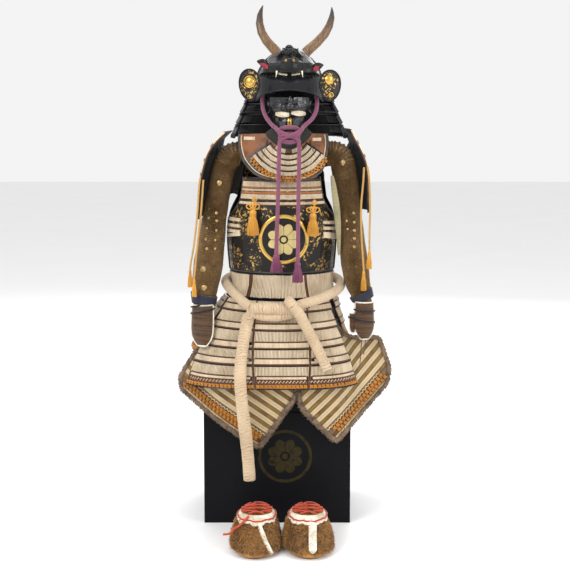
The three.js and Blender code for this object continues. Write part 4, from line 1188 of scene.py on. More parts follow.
class Paint:
    """All finishes of the set, made once."""

    def __init__(self) -> None:
        """Makes the materials."""
        cream, cream_shade = linear("EDDCC0"), linear("A68B66")
        self.black = Lacquer("black_lacquer").make()
        self.iron = Lacquer("helmet_lacquer", (0.009, 0.009, 0.011), (0.03, 0.026, 0.022), 0.26, 0.9,
                            0.16).make()
        self.matt = Lacquer("matt_lacquer", (0.005, 0.0045, 0.0045), (0.014, 0.011, 0.009), 0.55, 0.9,
                            0.06).make()
        self.mask = Lacquer("mask_lacquer", (0.006, 0.006, 0.008), (0.02, 0.016, 0.014), 0.16, 0.5,
                            0.55).make()
        self.beast = Lacquer("beast_lacquer", (0.009, 0.0085, 0.009), (0.08, 0.055, 0.03), 0.3, 2.2,
                             0.22).make()
        self.box = Lacquer("box_lacquer", (0.0055, 0.0055, 0.0065), (0.013, 0.012, 0.012), 0.35, 0.35, 0.05,
                           (0.024, 0.210, 0.084), (0.034, 0.026, 0.010)).make()
        self.stand = Lacquer("stand_lacquer", (0.008, 0.007, 0.007), (0.02, 0.014, 0.01), 0.45, 0.8,
                             0.1).make()
        self.gilt = GiltLeather("gilt_leather", crest=(0.020, 0.875, 0.075)).make()
        self.turnback = GiltLeather("gilt_turnback", (0.38, 0.25, 0.085), scale=95.0, cover=0.35).make()
        self.cream = Silk("cream_silk", cream, cream_shade).make()
        self.brown = Silk("brown_silk", linear("6B4526"), linear("3A2414")).make()
        self.orange = Silk("orange_silk", linear("C07C1C"), linear("74430E"), rough=0.55).make()
        self.rust = Silk("rust_silk", linear("C07A48"), linear("84502E")).make()
        self.gold = Silk("gold_silk", linear("DFA53E"), linear("A56A1C"), rough=0.5, dirt=0.25).make()
        self.night = Silk("blue_black_silk", (0.012, 0.012, 0.02), (0.03, 0.028, 0.035)).make()
        self.rose = Silk("rose_silk", linear("8F4A6C"), linear("5A2842"), rough=0.5).make()
        self.rose_braid = Braid("rose_braid", linear("95506F"), linear("4E2138")).make()
        self.gold_braid = Braid("gold_braid", linear("E3B25A"), linear("9B6A28"), 0.004, 4, 0.003).make()
        self.dark_braid = Braid("dark_braid", (0.02, 0.018, 0.026), (0.006, 0.006, 0.008), 0.003, 4,
                                0.00125).make()
        self.red_braid = Braid("red_braid", linear("E8582A"), linear("B03A18"), 0.004, 4, 0.0028).make()
        self.brown_leather = Leather("brown_leather", linear("865026"), linear("4E2B16")).make()
        self.grey_leather = Leather("grey_leather", linear("4A4540"), linear("1E1B19")).make()
        self.hide = Leather("white_hide", linear("E9E2D3"), linear("B7A88C"), 0.65).make()
        self.smoked = Leather("smoked_leather", linear("5B3A22"), linear("2A1A10")).make()
        self.mail = MailCloth("mail_cloth").make()
        self.rings = Metal("mail_rings", (0.23, 0.14, 0.06), (0.045, 0.026, 0.013), 0.42, 0.45).make()
        self.plates = Metal("mail_plates", linear("B3986A"), linear("5E4426"), 0.4, 0.6).make()
        self.brass = Metal("gilt_brass", linear("D6AE5A"), linear("6B4A1E"), 0.28, 0.35).make()
        self.cloth = Stripes("olive_lining", (linear("A39A74"), linear("B8AE88"), linear("8C8460")),
                             0.011).make()
        self.brocade = Stripes("brown_brocade", (linear("4C341F"), linear("6B4A28"), linear("22170F")),
                               0.0145).make()
        self.black_cloth = Stripes("black_cloth",
                                   ((0.018, 0.015, 0.014), (0.03, 0.024, 0.02), (0.012, 0.01, 0.01)),
                                   0.009).make()
        self.indigo = Silk("indigo_cotton", (0.017, 0.018, 0.038), (0.04, 0.04, 0.06), 700.0, 0.8).make()
        self.wound = Wrapped("wound_cotton").make()
        self.fur = Pelt("tan_fur", linear("CC9448"), linear("6A421C")).make()
        self.grey_fur = Pelt("grey_fur", linear("A08468"), linear("3C2C22")).make()
        self.dark_hair = Pelt("dark_hair", (0.012, 0.011, 0.013), (0.03, 0.028, 0.03), 0.5).make()
        self.bone = Leather("bone", linear("EDE3CC"), linear("C2AE86"), 0.35, 900.0).make()
        self.red = Lacquer("red_lacquer", linear("8E2E3C"), linear("4E1019"), 0.35, 0.8).make()
        self.horns = Horn("painted_horn", 1.42, 1.575).make()
        self.eyes = Metal("gilt_eyes", linear("8C7048"), linear("3A2A14"), 0.4, 0.5).make()


def dress(names: Iterable[str], material: bpy.types.Material) -> None:
    """Gives CAD nodes that stay in view their material."""
    for name in names:
        node = frame["nodes"][name]
        node.data.materials.clear()
        node.data.materials.append(material)
        node.data.shade_smooth()
        node.data.set_sharp_from_angle(angle=math.radians(35))


# ---------------------------------------------------------------- cords and tassels


@dataclass
class Tassel:
    """A tassel: a wound head over a skirt of threads, hung from its top."""

    name: str
    at: Point
    length: float
    radius: float
    node: Optional[str] = None
    threads: int = 60
    seed: int = 3

    def build(self, repeats: Repeats, finish: bpy.types.Material, slot: str) -> bpy.types.Object:
        """Returns the tassel as one piece that stands for its solid."""
        chance = random.Random(self.seed)
        top, head = Vector(self.at), self.length * 0.26
        lines = []
        for k in range(self.threads):
            turn = math.tau * k * 0.618
            full = math.sqrt((k + 0.5) / self.threads)
            out = Vector((math.cos(turn), math.sin(turn), 0))
            reach = self.radius * full * chance.uniform(0.84, 0.97)
            foot = self.length * chance.uniform(0.93, 0.995)
            neck = self.radius * 0.34 * full
            lines.append([
                top + out * neck + Vector((0, 0, -head)),
                top + out * lerp(neck, reach, 0.5) + Vector((0, 0, -lerp(head, foot, 0.25))),
                top + out * lerp(neck, reach, 0.85) + Vector((0, 0, -lerp(head, foot, 0.62))),
                top + out * reach + Vector((0, 0, -foot)),
            ])
        skirt = repeats.lay_cords(self.name + "_threads", lines, 0.0011, finish, slot, 4)
        path = [top - Vector((0, 0, head * 1.25 * k / 10)) for k in range(11)]
        swell = [0.2, 0.36, 0.46, 0.5, 0.5, 0.46, 0.4, 0.44, 0.4, 0.44, 0.38]
        bulb = link(tube_mesh(self.name + "_head", path,
                              lambda share: self.radius * swell[min(10, round(share * 10))], 12), self.name
                              + "_head")
        rings = []
        for k in range(4):
            z = -head * (0.62 + 0.14 * k)
            rings.append([top + Vector((math.cos(math.tau * i / 12) * self.radius * 0.46,
                                        math.sin(math.tau * i / 12) * self.radius * 0.46, z))
                                        for i in range(13)])
        wound = repeats.lay_cords(self.name + "_wound", rings, 0.0011, finish, slot, 5)
        piece = join(self.name, [skirt, bulb, wound])
        smooth(piece, 60)
        if self.node:
            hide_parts(self.node)
        return settle(piece, finish, slot)


@dataclass
class FreeCord:
    """A free round cord on a route in millimetres."""

    name: str
    route: Sequence[Point]
    group: Vector
    radius: float
    far_end: str
    node: Optional[str] = None
    stiffness: str = "limp"

    def build(self, finish: bpy.types.Material, slot: str,
              pieces: Sequence[bpy.types.Object] = ()) -> bpy.types.Object:
        """Returns the cord, and logs its length."""
        points = curve_points(mm(self.route, self.group), 0.006)
        mesh = tube_mesh(self.name, points, self.radius, 10)
        cord = smooth(link(mesh, self.name), 60)
        if self.node:
            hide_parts(self.node)
        settle(cord, finish, slot)
        length = line_length(points)
        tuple(points[0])
        2 * self.radius
        LOG.info("%s: %.3f m long", self.name, length)
        return cord


def knot_mesh(width: float, thick: float) -> bpy.types.Mesh:
    """Returns one crossed knot: two short rounded cords laid over each other.

    Args:
        width: Its width.
        thick: The thickness of its cords.

    Returns:
        The mesh, facing Z.
    """
    build = bmesh.new()
    for turn, lift in ((math.pi / 4, 0.25), (-math.pi / 4, 0.55)):
        made = bmesh.ops.create_uvsphere(build, u_segments=6, v_segments=5, radius=0.5)["verts"]
        bmesh.ops.rotate(build, verts=made, cent=(0, 0, 0),
                         matrix=Matrix.Rotation(math.pi / 2, 3, "Y"))
        for v in made:
            v.co = Vector((v.co.x * width * 1.25, v.co.y * thick * 1.35, v.co.z * thick))
        bmesh.ops.rotate(build, verts=made, cent=(0, 0, 0), matrix=Matrix.Rotation(turn, 3, "Z"))
        bmesh.ops.translate(build, verts=made, vec=(0, 0, thick * lift))
    mesh = bpy.data.meshes.new("crossed_knot")
    build.to_mesh(mesh)
    build.free()
    return mesh


def dome_mesh(radius: float, rise: float, sides: int = 8) -> bpy.types.Mesh:
    """Returns a low dome facing Z, such as a stud or a plate's boss."""
    build = bmesh.new()
    rings = [(radius, -rise * 0.4), (radius, 0.0), (radius * 0.75, rise * 0.6),
             (radius * 0.35, rise * 0.93)]
    rows = [[build.verts.new((r * math.cos(math.tau * k / sides), r * math.sin(math.tau * k / sides), h))
             for k in range(sides)] for r, h in rings]
    for low, high in zip(rows, rows[1:]):
        for k in range(sides):
            build.faces.new((low[k], low[(k + 1) % sides], high[(k + 1) % sides], high[k]))
    build.faces.new(rows[-1])
    build.faces.new(rows[0][::-1])
    mesh = bpy.data.meshes.new("dome")
    build.to_mesh(mesh)
    build.free()
    return mesh


def plate_mesh(width: float, height: float, thick: float) -> bpy.types.Mesh:
    """Returns a small bevelled plate facing Z with its width along X."""
    build = bmesh.new()
    bmesh.ops.create_cube(build, size=1.0)
    for v in build.verts:
        v.co = Vector((v.co.x * width, v.co.y * height, v.co.z * thick))
    bmesh.ops.bevel(build, geom=build.edges[:], offset=thick * 0.3, segments=1, affect="EDGES")
    mesh = bpy.data.meshes.new("plate")
    build.to_mesh(mesh)
    build.free()
    return mesh


class Rows:
    """Lines laid on a round surface: upright lacing cords and cords that run round it."""

    def __init__(self, skin: Skin, middle: Vector) -> None:
        """Takes the surface and the axis that angles are measured round."""
        self.skin = skin
        self.middle = middle

    def line(self, places: Sequence[Pair], lift: float) -> list[Vector]:
        """Returns the line through (angle, height) places, without those that miss the surface."""
        hits = [self.skin.around(self.middle, angle, z, lift) for angle, z in places]
        return struck(hits)

    def upright(self, span: Callable[[float], Pair], top: float, foot: float, pitch: float,
                lift: float, parts: int = 3, stray: float = 0.0, seed: int = 5) -> list[list[Vector]]:
        """Returns upright cords side by side between two heights.

        Args:
            span: The first and last angle at a height.
            top: The cords' upper height.
            foot: Their lower height.
            pitch: The distance between two.
            lift: How far their middles stand off the surface.
            parts: How many parts each is made of.
            stray: How far their ends stray, in metres.
            seed: The seed of that.

        Returns:
            The cords' lines.
        """
        chance = random.Random(seed)
        level = (top + foot) / 2
        start, end = span(level)
        way = [hit for hit in self.line([(lerp(start, end, k / 24), level) for k in range(25)], 0)]
        width = sum((b - a).length for a, b in zip(way, way[1:]))
        count = max(2, round(width / pitch))
        lines = []
        for k in range(count):
            share = (k + 0.5) / count
            sway = chance.uniform(-stray, stray) * 40
            places = []
            for part in range(parts + 1):
                z = lerp(top, foot, part / parts) + (chance.uniform(-stray, stray) if part in (0, parts)
                                                     else 0)
                a, b = span(z)
                places.append((lerp(a, b, share) + sway * part / parts, z))
            line = self.line(places, lift)
            if len(line) == parts + 1:
                lines.append(line)
        return lines

    def round(self, span: Pair, z: Union[float, Callable[[float], float]], lift: float,
              step: float = 3.0) -> list[Vector]:
        """Returns one line round the surface at a height, from the first to the last angle."""
        count = max(2, round(abs(span[1] - span[0]) / step))
        angles = [lerp(*span, k / count) for k in range(count + 1)]
        return self.line([(a, z(a) if callable(z) else z) for a in angles], lift)

    def spots(self, span: Pair, z: float, pitch: float, lift: float, size: float = 1.0,
              turn: float = 0.0) -> list[Spot]:
        """Returns evenly spaced places round the surface at a height."""
        line = self.round(span, z, 0, 1.0)
        width = sum((b - a).length for a, b in zip(line, line[1:]))
        count = max(1, round(width / pitch))
        out = []
        for k in range(count):
            angle = lerp(*span, (k + 0.5) / count)
            hit = self.skin.around(self.middle, angle, z, lift)
            if hit:
                side = Vector((0, 0, 1)).cross(hit[1])
                along = side * math.cos(turn) + Vector((0, 0, math.sin(turn)))
                out.append(Spot(hit[0], hit[1], along, size))
        return out


@dataclass
class Dresser:
    """What every sub-assembly is built with."""

    paint: Paint
    repeats: Repeats

    def cords(self, name: str, lines: Sequence[Sequence[Vector]], radius: float,
              material: bpy.types.Material,
              slot: str = "cream_lacing", sides: int = 5, depth: float = 1.0) -> bpy.types.Object:
        """Lays cords of one finish as one piece."""
        return self.repeats.lay_cords(name, [line for line in lines if len(line) > 1], radius, material,
                                      slot, sides, depth)

    def tubes(self, name: str, paths: Sequence[Sequence[Vector]], radius: float,
              material: bpy.types.Material,
              slot: str, sides: int = 8, flat: float = 1.0) -> bpy.types.Object:
        """Makes thicker bindings or bars along paths, as one piece."""
        parts = [link(tube_mesh(name, path, radius, sides, flat), name + "_part") for path in paths]
        piece = smooth(join(name, parts), 70)
        return settle(piece, material, slot)


# ---------------------------------------------------------------- body armour

LAME_FEET = (0.655, 0.604, 0.552, 0.506, 0.437)
SKIRT_TOP = 0.690
PANELS = (
    ("skirt_panel_1", (-28, 28), (-17.5, 17.5), 0.437),
    ("skirt_panel_2", (-68, -28.6), (-60, -18), 0.437),
    ("skirt_panel_3", (28.6, 60), (18, 54), 0.437),
    ("skirt_panel_4", (-120, -71), (-120, -67), 0.524),
    ("skirt_panel_5", (67, 120), (71, 120), 0.524),
    ("skirt_panel_6", (-179.5, -121), (-179.5, -121), 0.437),
    ("skirt_panel_7", (121, 179.5), (121, 179.5), 0.437),
)


@dataclass
class Skirt:
    """The skirt of seven panels, each of laced lames with a row of crossed knots at its foot."""

    pitch: float = 0.0042
    cord: float = 0.00165
    rim: float = 0.0195

    def build(self, make: Dresser) -> None:
        """Laces all panels."""
        dress([panel[0] for panel in PANELS], make.paint.black)
        upright, flat, brown, white, rust, edges = [], [], [], [], [], []
        knots: list[Spot] = []
        for number, (node, head, foot, low) in enumerate(PANELS):
            rows = Rows(Skin(node), BODY)

            def span(z: float, head: tuple = head, foot: tuple = foot, low: float = low) -> Pair:
                """Returns the panel's angles at a height, a little inside its edges."""
                share = (z - low) / (SKIRT_TOP - low)
                a, b = lerp(foot[0], head[0], share), lerp(foot[1], head[1], share)
                return a + 0.35, b - 0.35

            feet = [z for z in LAME_FEET if z > low] + [low]
            tops = [SKIRT_TOP] + feet[:-1]
            for top, z in zip(tops, feet):
                last = z == low
                rim = 0.038 if last else self.rim
                upright += rows.upright(span, top - 0.0035, z + rim, self.pitch, self.cord * 0.7, 2, 0.0,
                                        number)
                brown.append(rows.round(span(z), z + rim, 0.0022))
                levels = (0.034, 0.0307) if last else (0.0155, 0.0122, 0.0089, 0.0056)
                flat += [rows.round(span(z), z + up, 0.0014) for up in levels]
                if not last:
                    # Painted shadow: a brown cord at each lame's foot stands in for the shaded gap under
                    # it.
                    brown.append(rows.round(span(z), z + 0.0022, 0.0022))
                    continue
                brown.append(rows.round(span(z), z + 0.0275, 0.0015))
                brown.append(rows.round(span(z), z + 0.0165, 0.0015))
                for k, spot in enumerate(rows.spots(span(z), z + 0.022, 0.0052, 0.0015)):
                    slant = spot.along * (0.0028 if k % 2 else -0.0028)
                    (white if k % 2 else rust).append([spot.at - slant - Vector((0, 0, 0.0035)),
                                                       spot.at + slant + Vector((0, 0, 0.0035))])
                knots += rows.spots(span(z), z + 0.0085, 0.0122, 0.001)
            edge = [[rows.skin.around(BODY, span(z)[side], z, 0.001) for z in
                     [lerp(low + 0.002, SKIRT_TOP - 0.004, k / 40) for k in range(41)]] for side in (0, 1)]
            edges += [struck(line) for line in edge]
        make.cords("skirt_lacing", upright, self.cord, make.paint.cream, sides=5)
        make.cords("skirt_rims", flat, 0.0019, make.paint.cream, sides=6)
        # These brown cords are partly real brown cords and partly painted shadow lines at the lames' feet.
        make.cords("skirt_brown_cords", brown, 0.0022, make.paint.brown, sides=6)
        make.cords("skirt_white_stitches", white, 0.0013, make.paint.cream)
        make.cords("skirt_rust_stitches", rust, 0.0013, make.paint.rust)
        make.cords("skirt_side_cords", edges, 0.0021, make.paint.brown)
        make.repeats.put("skirt_crossed_knots", knots, knot_mesh(0.0125, 0.0062), make.paint.orange,
                         "gold_silk", 0.05)


@dataclass
class Waist:
    """The long open lacing that the skirt hangs from."""

    top: float = 0.7628
    foot: float = 0.6962

    def build(self, make: Dresser) -> None:
        """Hangs the cords over the waist's cloth."""
        rows = Rows(Skin("waist_lacing"), BODY)
        dress(["waist_lacing"], make.paint.black_cloth)
        cords = rows.upright(lambda z: (-180, 180), self.top, self.foot, 0.0043, 0.0017, 4, 0.0008, 8)
        plain, seams = [], []
        for cord in cords:
            near = min(abs(cord[0].x - place) for place in (-0.079, 0.086))
            (seams if near < 0.0045 and cord[0].y < 0 else plain).append(cord)
        make.cords("waist_cords", plain, 0.0019, make.paint.cream)
        make.cords("waist_brown_cords", seams, 0.0019, make.paint.brown)


@dataclass
class Cuirass:
    """The front and back plates with gilt leather, laced chest lames, side lacing and bound edges."""

    crest: Point = (0.020, 0.875, 0.075)
    bands: Sequence[Pair] = ((1.046, 1.0305), (1.0085, 0.9945))
    slim: Sequence[Pair] = ((1.0245, 1.0185), (0.986, 0.9785))
    rust: Sequence[float] = (1.0278, 1.0145, 1.0118)

    def build(self, make: Dresser) -> None:
        """Dresses both plates."""
        dress(["cuirass_front", "cuirass_back"], make.paint.gilt)
        dress(["shoulder_strap_left", "shoulder_strap_right"], make.paint.smoked)
        front, back = Rows(Skin("cuirass_front"), BODY), Rows(Skin("cuirass_back"), BODY)
        self.lames(make, "chest", front, lambda z: self.reach(front, z, 0))
        self.lames(make, "back", back, lambda z: self.reach(back, z, 180))
        self.bars(make)
        self.bindings(make, front, back)
        self.medallion(make, front)

    @staticmethod
    def reach(rows: Rows, z: float, middle: float) -> Pair:
        """Returns the angles between which the plate stands at a height."""
        found = []
        for way in (-1, 1):
            angle = 0.0
            while angle < 100 and rows.skin.around(BODY, middle + way * (angle + 1), z):
                angle += 1
            found.append(middle + way * (angle - 1.2))
        return found[0], found[1]

    def lames(self, make: Dresser, name: str, rows: Rows, span: Callable[[float], Pair]) -> None:
        """Laces the upper lames of one plate."""
        cords, dark, rust = [], [], []
        for top, foot in self.bands:
            cords += rows.upright(span, top, foot, 0.0037, 0.0016, 2, 0.0, 11)
        for top, foot in self.slim:
            cords += rows.upright(span, top, foot, 0.0037, 0.0016, 1, 0.0, 12)
        for z in self.rust:
            rust.append(rows.round(span(z), z, 0.0016))
        for z in (0.9905, 0.9765, 1.0505):
            dark.append(rows.round(span(z), z, 0.0008))
        make.cords(name + "_lacing", cords, 0.00175, make.paint.cream)
        make.cords(name + "_rust_cords", rust, 0.0018, make.paint.rust)
        make.cords(name + "_lame_edges", dark, 0.0026, make.paint.smoked)

    def bars(self, make: Dresser) -> None:
        """Lays the bundles that lace the plates together at the sides."""
        skin = Skin("cuirass_front", "cuirass_back")
        rows = Rows(skin, BODY)
        bars = []
        for side, heights in ((-1, ((0.929, 0.927), (0.911, 0.908), (0.894, 0.890), (0.886, 0.868))),
                              (1, ((0.922, 0.909), (0.905, 0.890), (0.889, 0.868), (0.880, 0.860)))):
            for near, far in heights:
                for strand in range(3):
                    off = (strand - 1) * 0.0030
                    bars.append(rows.line([(side * angle, lerp(near, far, (angle - 52) / 50) + off)
                                           for angle in (52, 58, 64, 70, 76, 82, 88, 94, 100)], 0.0022))
        make.cords("side_lacing", bars, 0.0021, make.paint.cream, sides=6)

    def bindings(self, make: Dresser, front: Rows, back: Rows) -> None:
        """Binds the plates' sides and feet in dark hide."""
        paths = []
        for rows, middle, top in ((front, 0, 1.056), (back, 180, 1.066)):
            for side in (0, 1):
                line = []
                for k in range(28):
                    z = lerp(0.771, top, k / 27)
                    line += rows.line([(self.reach(rows, z, middle)[side], z)], 0.001)
                paths.append(line)
            ends = self.reach(rows, 0.7715, middle)
            paths.append(rows.round(ends, 0.7715, 0.0006))
        make.tubes("cuirass_bindings", paths, 0.0032, make.paint.grey_leather, "brown_leather", 8)

    def medallion(self, make: Dresser, rows: Rows) -> None:
        """Raises the chest's ring a little off the leather."""
        cx, cz, size = self.crest
        skin = rows.skin
        ring = []
        for k in range(65):
            turn = math.tau * k / 64
            hit = skin.front(cx + math.cos(turn) * size * 0.93, cz + math.sin(turn) * size * 0.93, 0.0006)
            ring.append(hit[0])
        make.tubes("chest_ring", [ring], 0.0056, make.paint.brass, "gilt_leather", 8, 0.3)


@dataclass
class ThroatGuard:
    """The bib below the mask: leather sides, laced lames in arcs and a row of crossed knots."""

    neck: Pair = (0.035, 1.193)
    arcs: Sequence[float] = (0.056, 0.0725, 0.089, 0.1055, 0.122)
    span: float = 57.0
    outline: Sequence[Pair] = (
        (-88, 0.153), (-60, 0.163), (-40, 0.161), (-20, 0.150), (0, 0.143), (20, 0.150), (40, 0.154),
        (60, 0.134),
        (88, 0.118))

    def reach(self, angle: float) -> float:
        """Returns the outline's distance from the neck's middle at an angle from straight down."""
        for (a, low), (b, high) in zip(self.outline, self.outline[1:]):
            if a <= angle <= b:
                return lerp(low, high, (angle - a) / (b - a))
        return self.outline[-1][1]

    def spot(self, skin: Skin, angle: float, reach: float, lift: float) -> Optional[Hit]:
        """Returns the surface's point at an angle and a distance from the neck's middle."""
        turn = math.radians(angle)
        return skin.front(self.neck[0] + reach * math.sin(turn), self.neck[1] - reach * math.cos(turn),
                          lift)

    def arc(self, skin: Skin, reach: Union[float, Callable[[float], float]], span: float,
            lift: float) -> list[Vector]:
        """Returns a line along an arc."""
        found = []
        for k in range(61):
            angle = lerp(-span, span, k / 60)
            hit = self.spot(skin, angle, reach(angle) if callable(reach) else reach, lift)
            if hit:
                found.append(hit[0])
        return found

    def build(self, make: Dresser) -> None:
        """Dresses the plate and laces the lames."""
        dress(["throat_guard_plate"], make.paint.brown_leather)
        dress(["throat_guard_lames"], make.paint.black)
        skin = Skin("throat_guard_lames", "throat_guard_plate")
        cords, edges, knots = [], [], []
        for row, middle in enumerate(self.arcs):
            count = round(2 * math.radians(self.span) * middle / 0.0038)
            for k in range(count):
                angle = lerp(-self.span, self.span, (k + 0.5) / count)
                ends = [self.spot(skin, angle, middle + out, 0.0018) for out in (-0.0056, 0.0, 0.0056)]
                if all(ends) and (row != 0 or abs(angle) > 8):
                    cords.append([hit[0] for hit in ends])
            edges.append(self.arc(skin, middle + 0.0078, self.span, 0.001))
        count = round(2 * math.radians(self.span) * 0.136 / 0.0115)
        for row, reach in enumerate((0.1335, 0.1405)):
            for k in range(count):
                angle = lerp(-self.span, self.span, (k + 0.5 + row * 0.5) / count)
                hit = self.spot(skin, angle, reach, 0.001)
                if hit:
                    turn = math.radians(angle)
                    knots.append(Spot(hit[0], hit[1], Vector((math.cos(turn), 0, math.sin(turn))), 0.85))
        make.cords("throat_lacing", cords, 0.0018, make.paint.cream)
        make.cords("throat_lame_edges", edges, 0.0016, make.paint.smoked)
        make.repeats.put("throat_crossed_knots", knots, knot_mesh(0.0115, 0.006), make.paint.orange,
                         "gold_silk", 0.06)
        rim = self.arc(skin, lambda a: self.reach(a) - 0.004, 87.5, 0.0006)
        neck = self.arc(skin, 0.0505, 87.5, 0.0006)
        make.tubes("throat_binding", [rim, neck], 0.0042, make.paint.grey_leather, "brown_leather", 8, 0.55)
        piping = self.arc(skin, lambda a: self.reach(a) - 0.0105, 86, 0.0008)
        make.cords("throat_piping", [piping], 0.0014, make.paint.cream, sides=6)
        self.lace_bars(make, skin)

    def lace_bars(self, make: Dresser, skin: Skin) -> None:
        """Lays the short lace bars and the seams at the top of the leather sides."""
        bars, seams = [], []
        for left, right, z in ((-0.099, -0.066, 1.1785), (0.106, 0.132, 1.176)):
            for strand in range(4):
                line = [skin.front(lerp(left, right, k / 6), z - strand * 0.0024, 0.0014) for k in range(7)]
                bars.append(struck(line))
        for side in (-1, 1):
            line = [skin.front(0.035 + side * lerp(0.058, 0.082, k / 9), lerp(1.19, 1.105, k / 9), 0.0012)
                    for k in range(10)]
            seams.append(struck(line))
        make.cords("throat_lace_bars", bars, 0.0015, make.paint.cream)
        make.cords("throat_side_seams", seams, 0.002, make.paint.smoked)


def soft_copy(node: str, name: str, uv: Callable[[Vector], Pair], lap: float = 0.0,
              levels: int = 1) -> bpy.types.Object:
    """Makes a smooth cloth piece in the place of a faceted solid.

    Args:
        node: The CAD node it stands for.
        name: The piece's name.
        uv: Gives a place's U and V, in metres.
        lap: U's length all round, where it closes on itself.
        levels: How often its faces are divided.

    Returns:
        The piece, which still needs its material.
    """
    build = bmesh.new()
    build.from_mesh(frame["nodes"][node].data)
    bmesh.ops.remove_doubles(build, verts=build.verts, dist=1e-5)
    bmesh.ops.join_triangles(build, faces=build.faces[:], angle_face_threshold=0.6,
                             angle_shape_threshold=0.8)
    mesh = made_mesh(build, name)
    obj = link(mesh, name)
    soft = obj.modifiers.new("soft", "SUBSURF")
    soft.levels = soft.render_levels = levels
    bake(obj)
    build = bmesh.new()
    build.from_mesh(obj.data)
    layer = build.loops.layers.uv.verify()
    for face in build.faces:
        found = [uv(loop.vert.co) for loop in face.loops]
        high = max(u for u, _ in found)
        for loop, (u, v) in zip(face.loops, found):
            loop[layer].uv = (u + lap if lap and high - u > lap / 2 else u, v)
    build.to_mesh(obj.data)
    build.free()
    obj.data.shade_smooth()
    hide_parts(node)
    return obj


def wall_area(obj: bpy.types.Object) -> float:
    """Returns half the surface of a closed wall, which is its cloth's area."""
    return sum(face.area for face in obj.data.polygons) / 2


@dataclass(frozen=True)
class Haidate:
    """Striped silk and lame lacing of the thigh guards, along the piece's own UV map."""

    name: str = "thigh_guard_cloth"

    def make(self) -> bpy.types.Material:
        """Returns the material."""
        s = Shade(self.name, Specular_IOR_Level=0.3, Sheen_Weight=0.25)
        u, v, _ = s.place("UV")
        band = ((v - 0.052) / 0.0265).fract()
        white = band.ramp(0.05, 0.08) * band.ramp(0.60, 0.57)
        line = band.ramp(0.0, 0.015) * band.ramp(0.06, 0.045) + band.ramp(0.59, 0.61) * band.ramp(0.66,
                                                                                                  0.64)
        line = line + band.ramp(0.31, 0.325) * band.ramp(0.35, 0.335) * 0.6
        cord = (u / 0.0036).fract().wave(1.0)
        twill = ((u + v) * 2400).sine() * 0.5 + 0.5
        cream, olive = linear("D6C09A"), linear("86662C")
        field = s.mix(s.noise(40, 4).ramp(0.4, 0.7), olive, linear("5E451C"))
        field = s.mix(twill * 0.3, field, linear("5E4620"))
        # Painted shade: the grooves between the laced cords are darkened towards brown.
        laced = s.mix(cord.ramp(0.45, 0.0) * 0.8, cream, linear("6E5634"))
        colour = s.mix(line.least(1) * 0.85, s.mix(white, field, laced), linear("4A2F18"))
        # Painted shade: a dark brown band along the lower edge, under the knots, stands in for the shade
        # between them.
        colour = s.mix(v.ramp(0.016, 0.018) * v.ramp(0.0445, 0.0425) * 0.8, colour, linear("4A2A10"))
        colour = s.mix(s.noise(15, 5, 0.65).ramp(0.45, 0.8) * 0.35, colour, linear("6A5334"))
        return s.finish(colour, 0.7, white * (0.5 + cord * 0.5) + twill * 0.1, 0.0016)


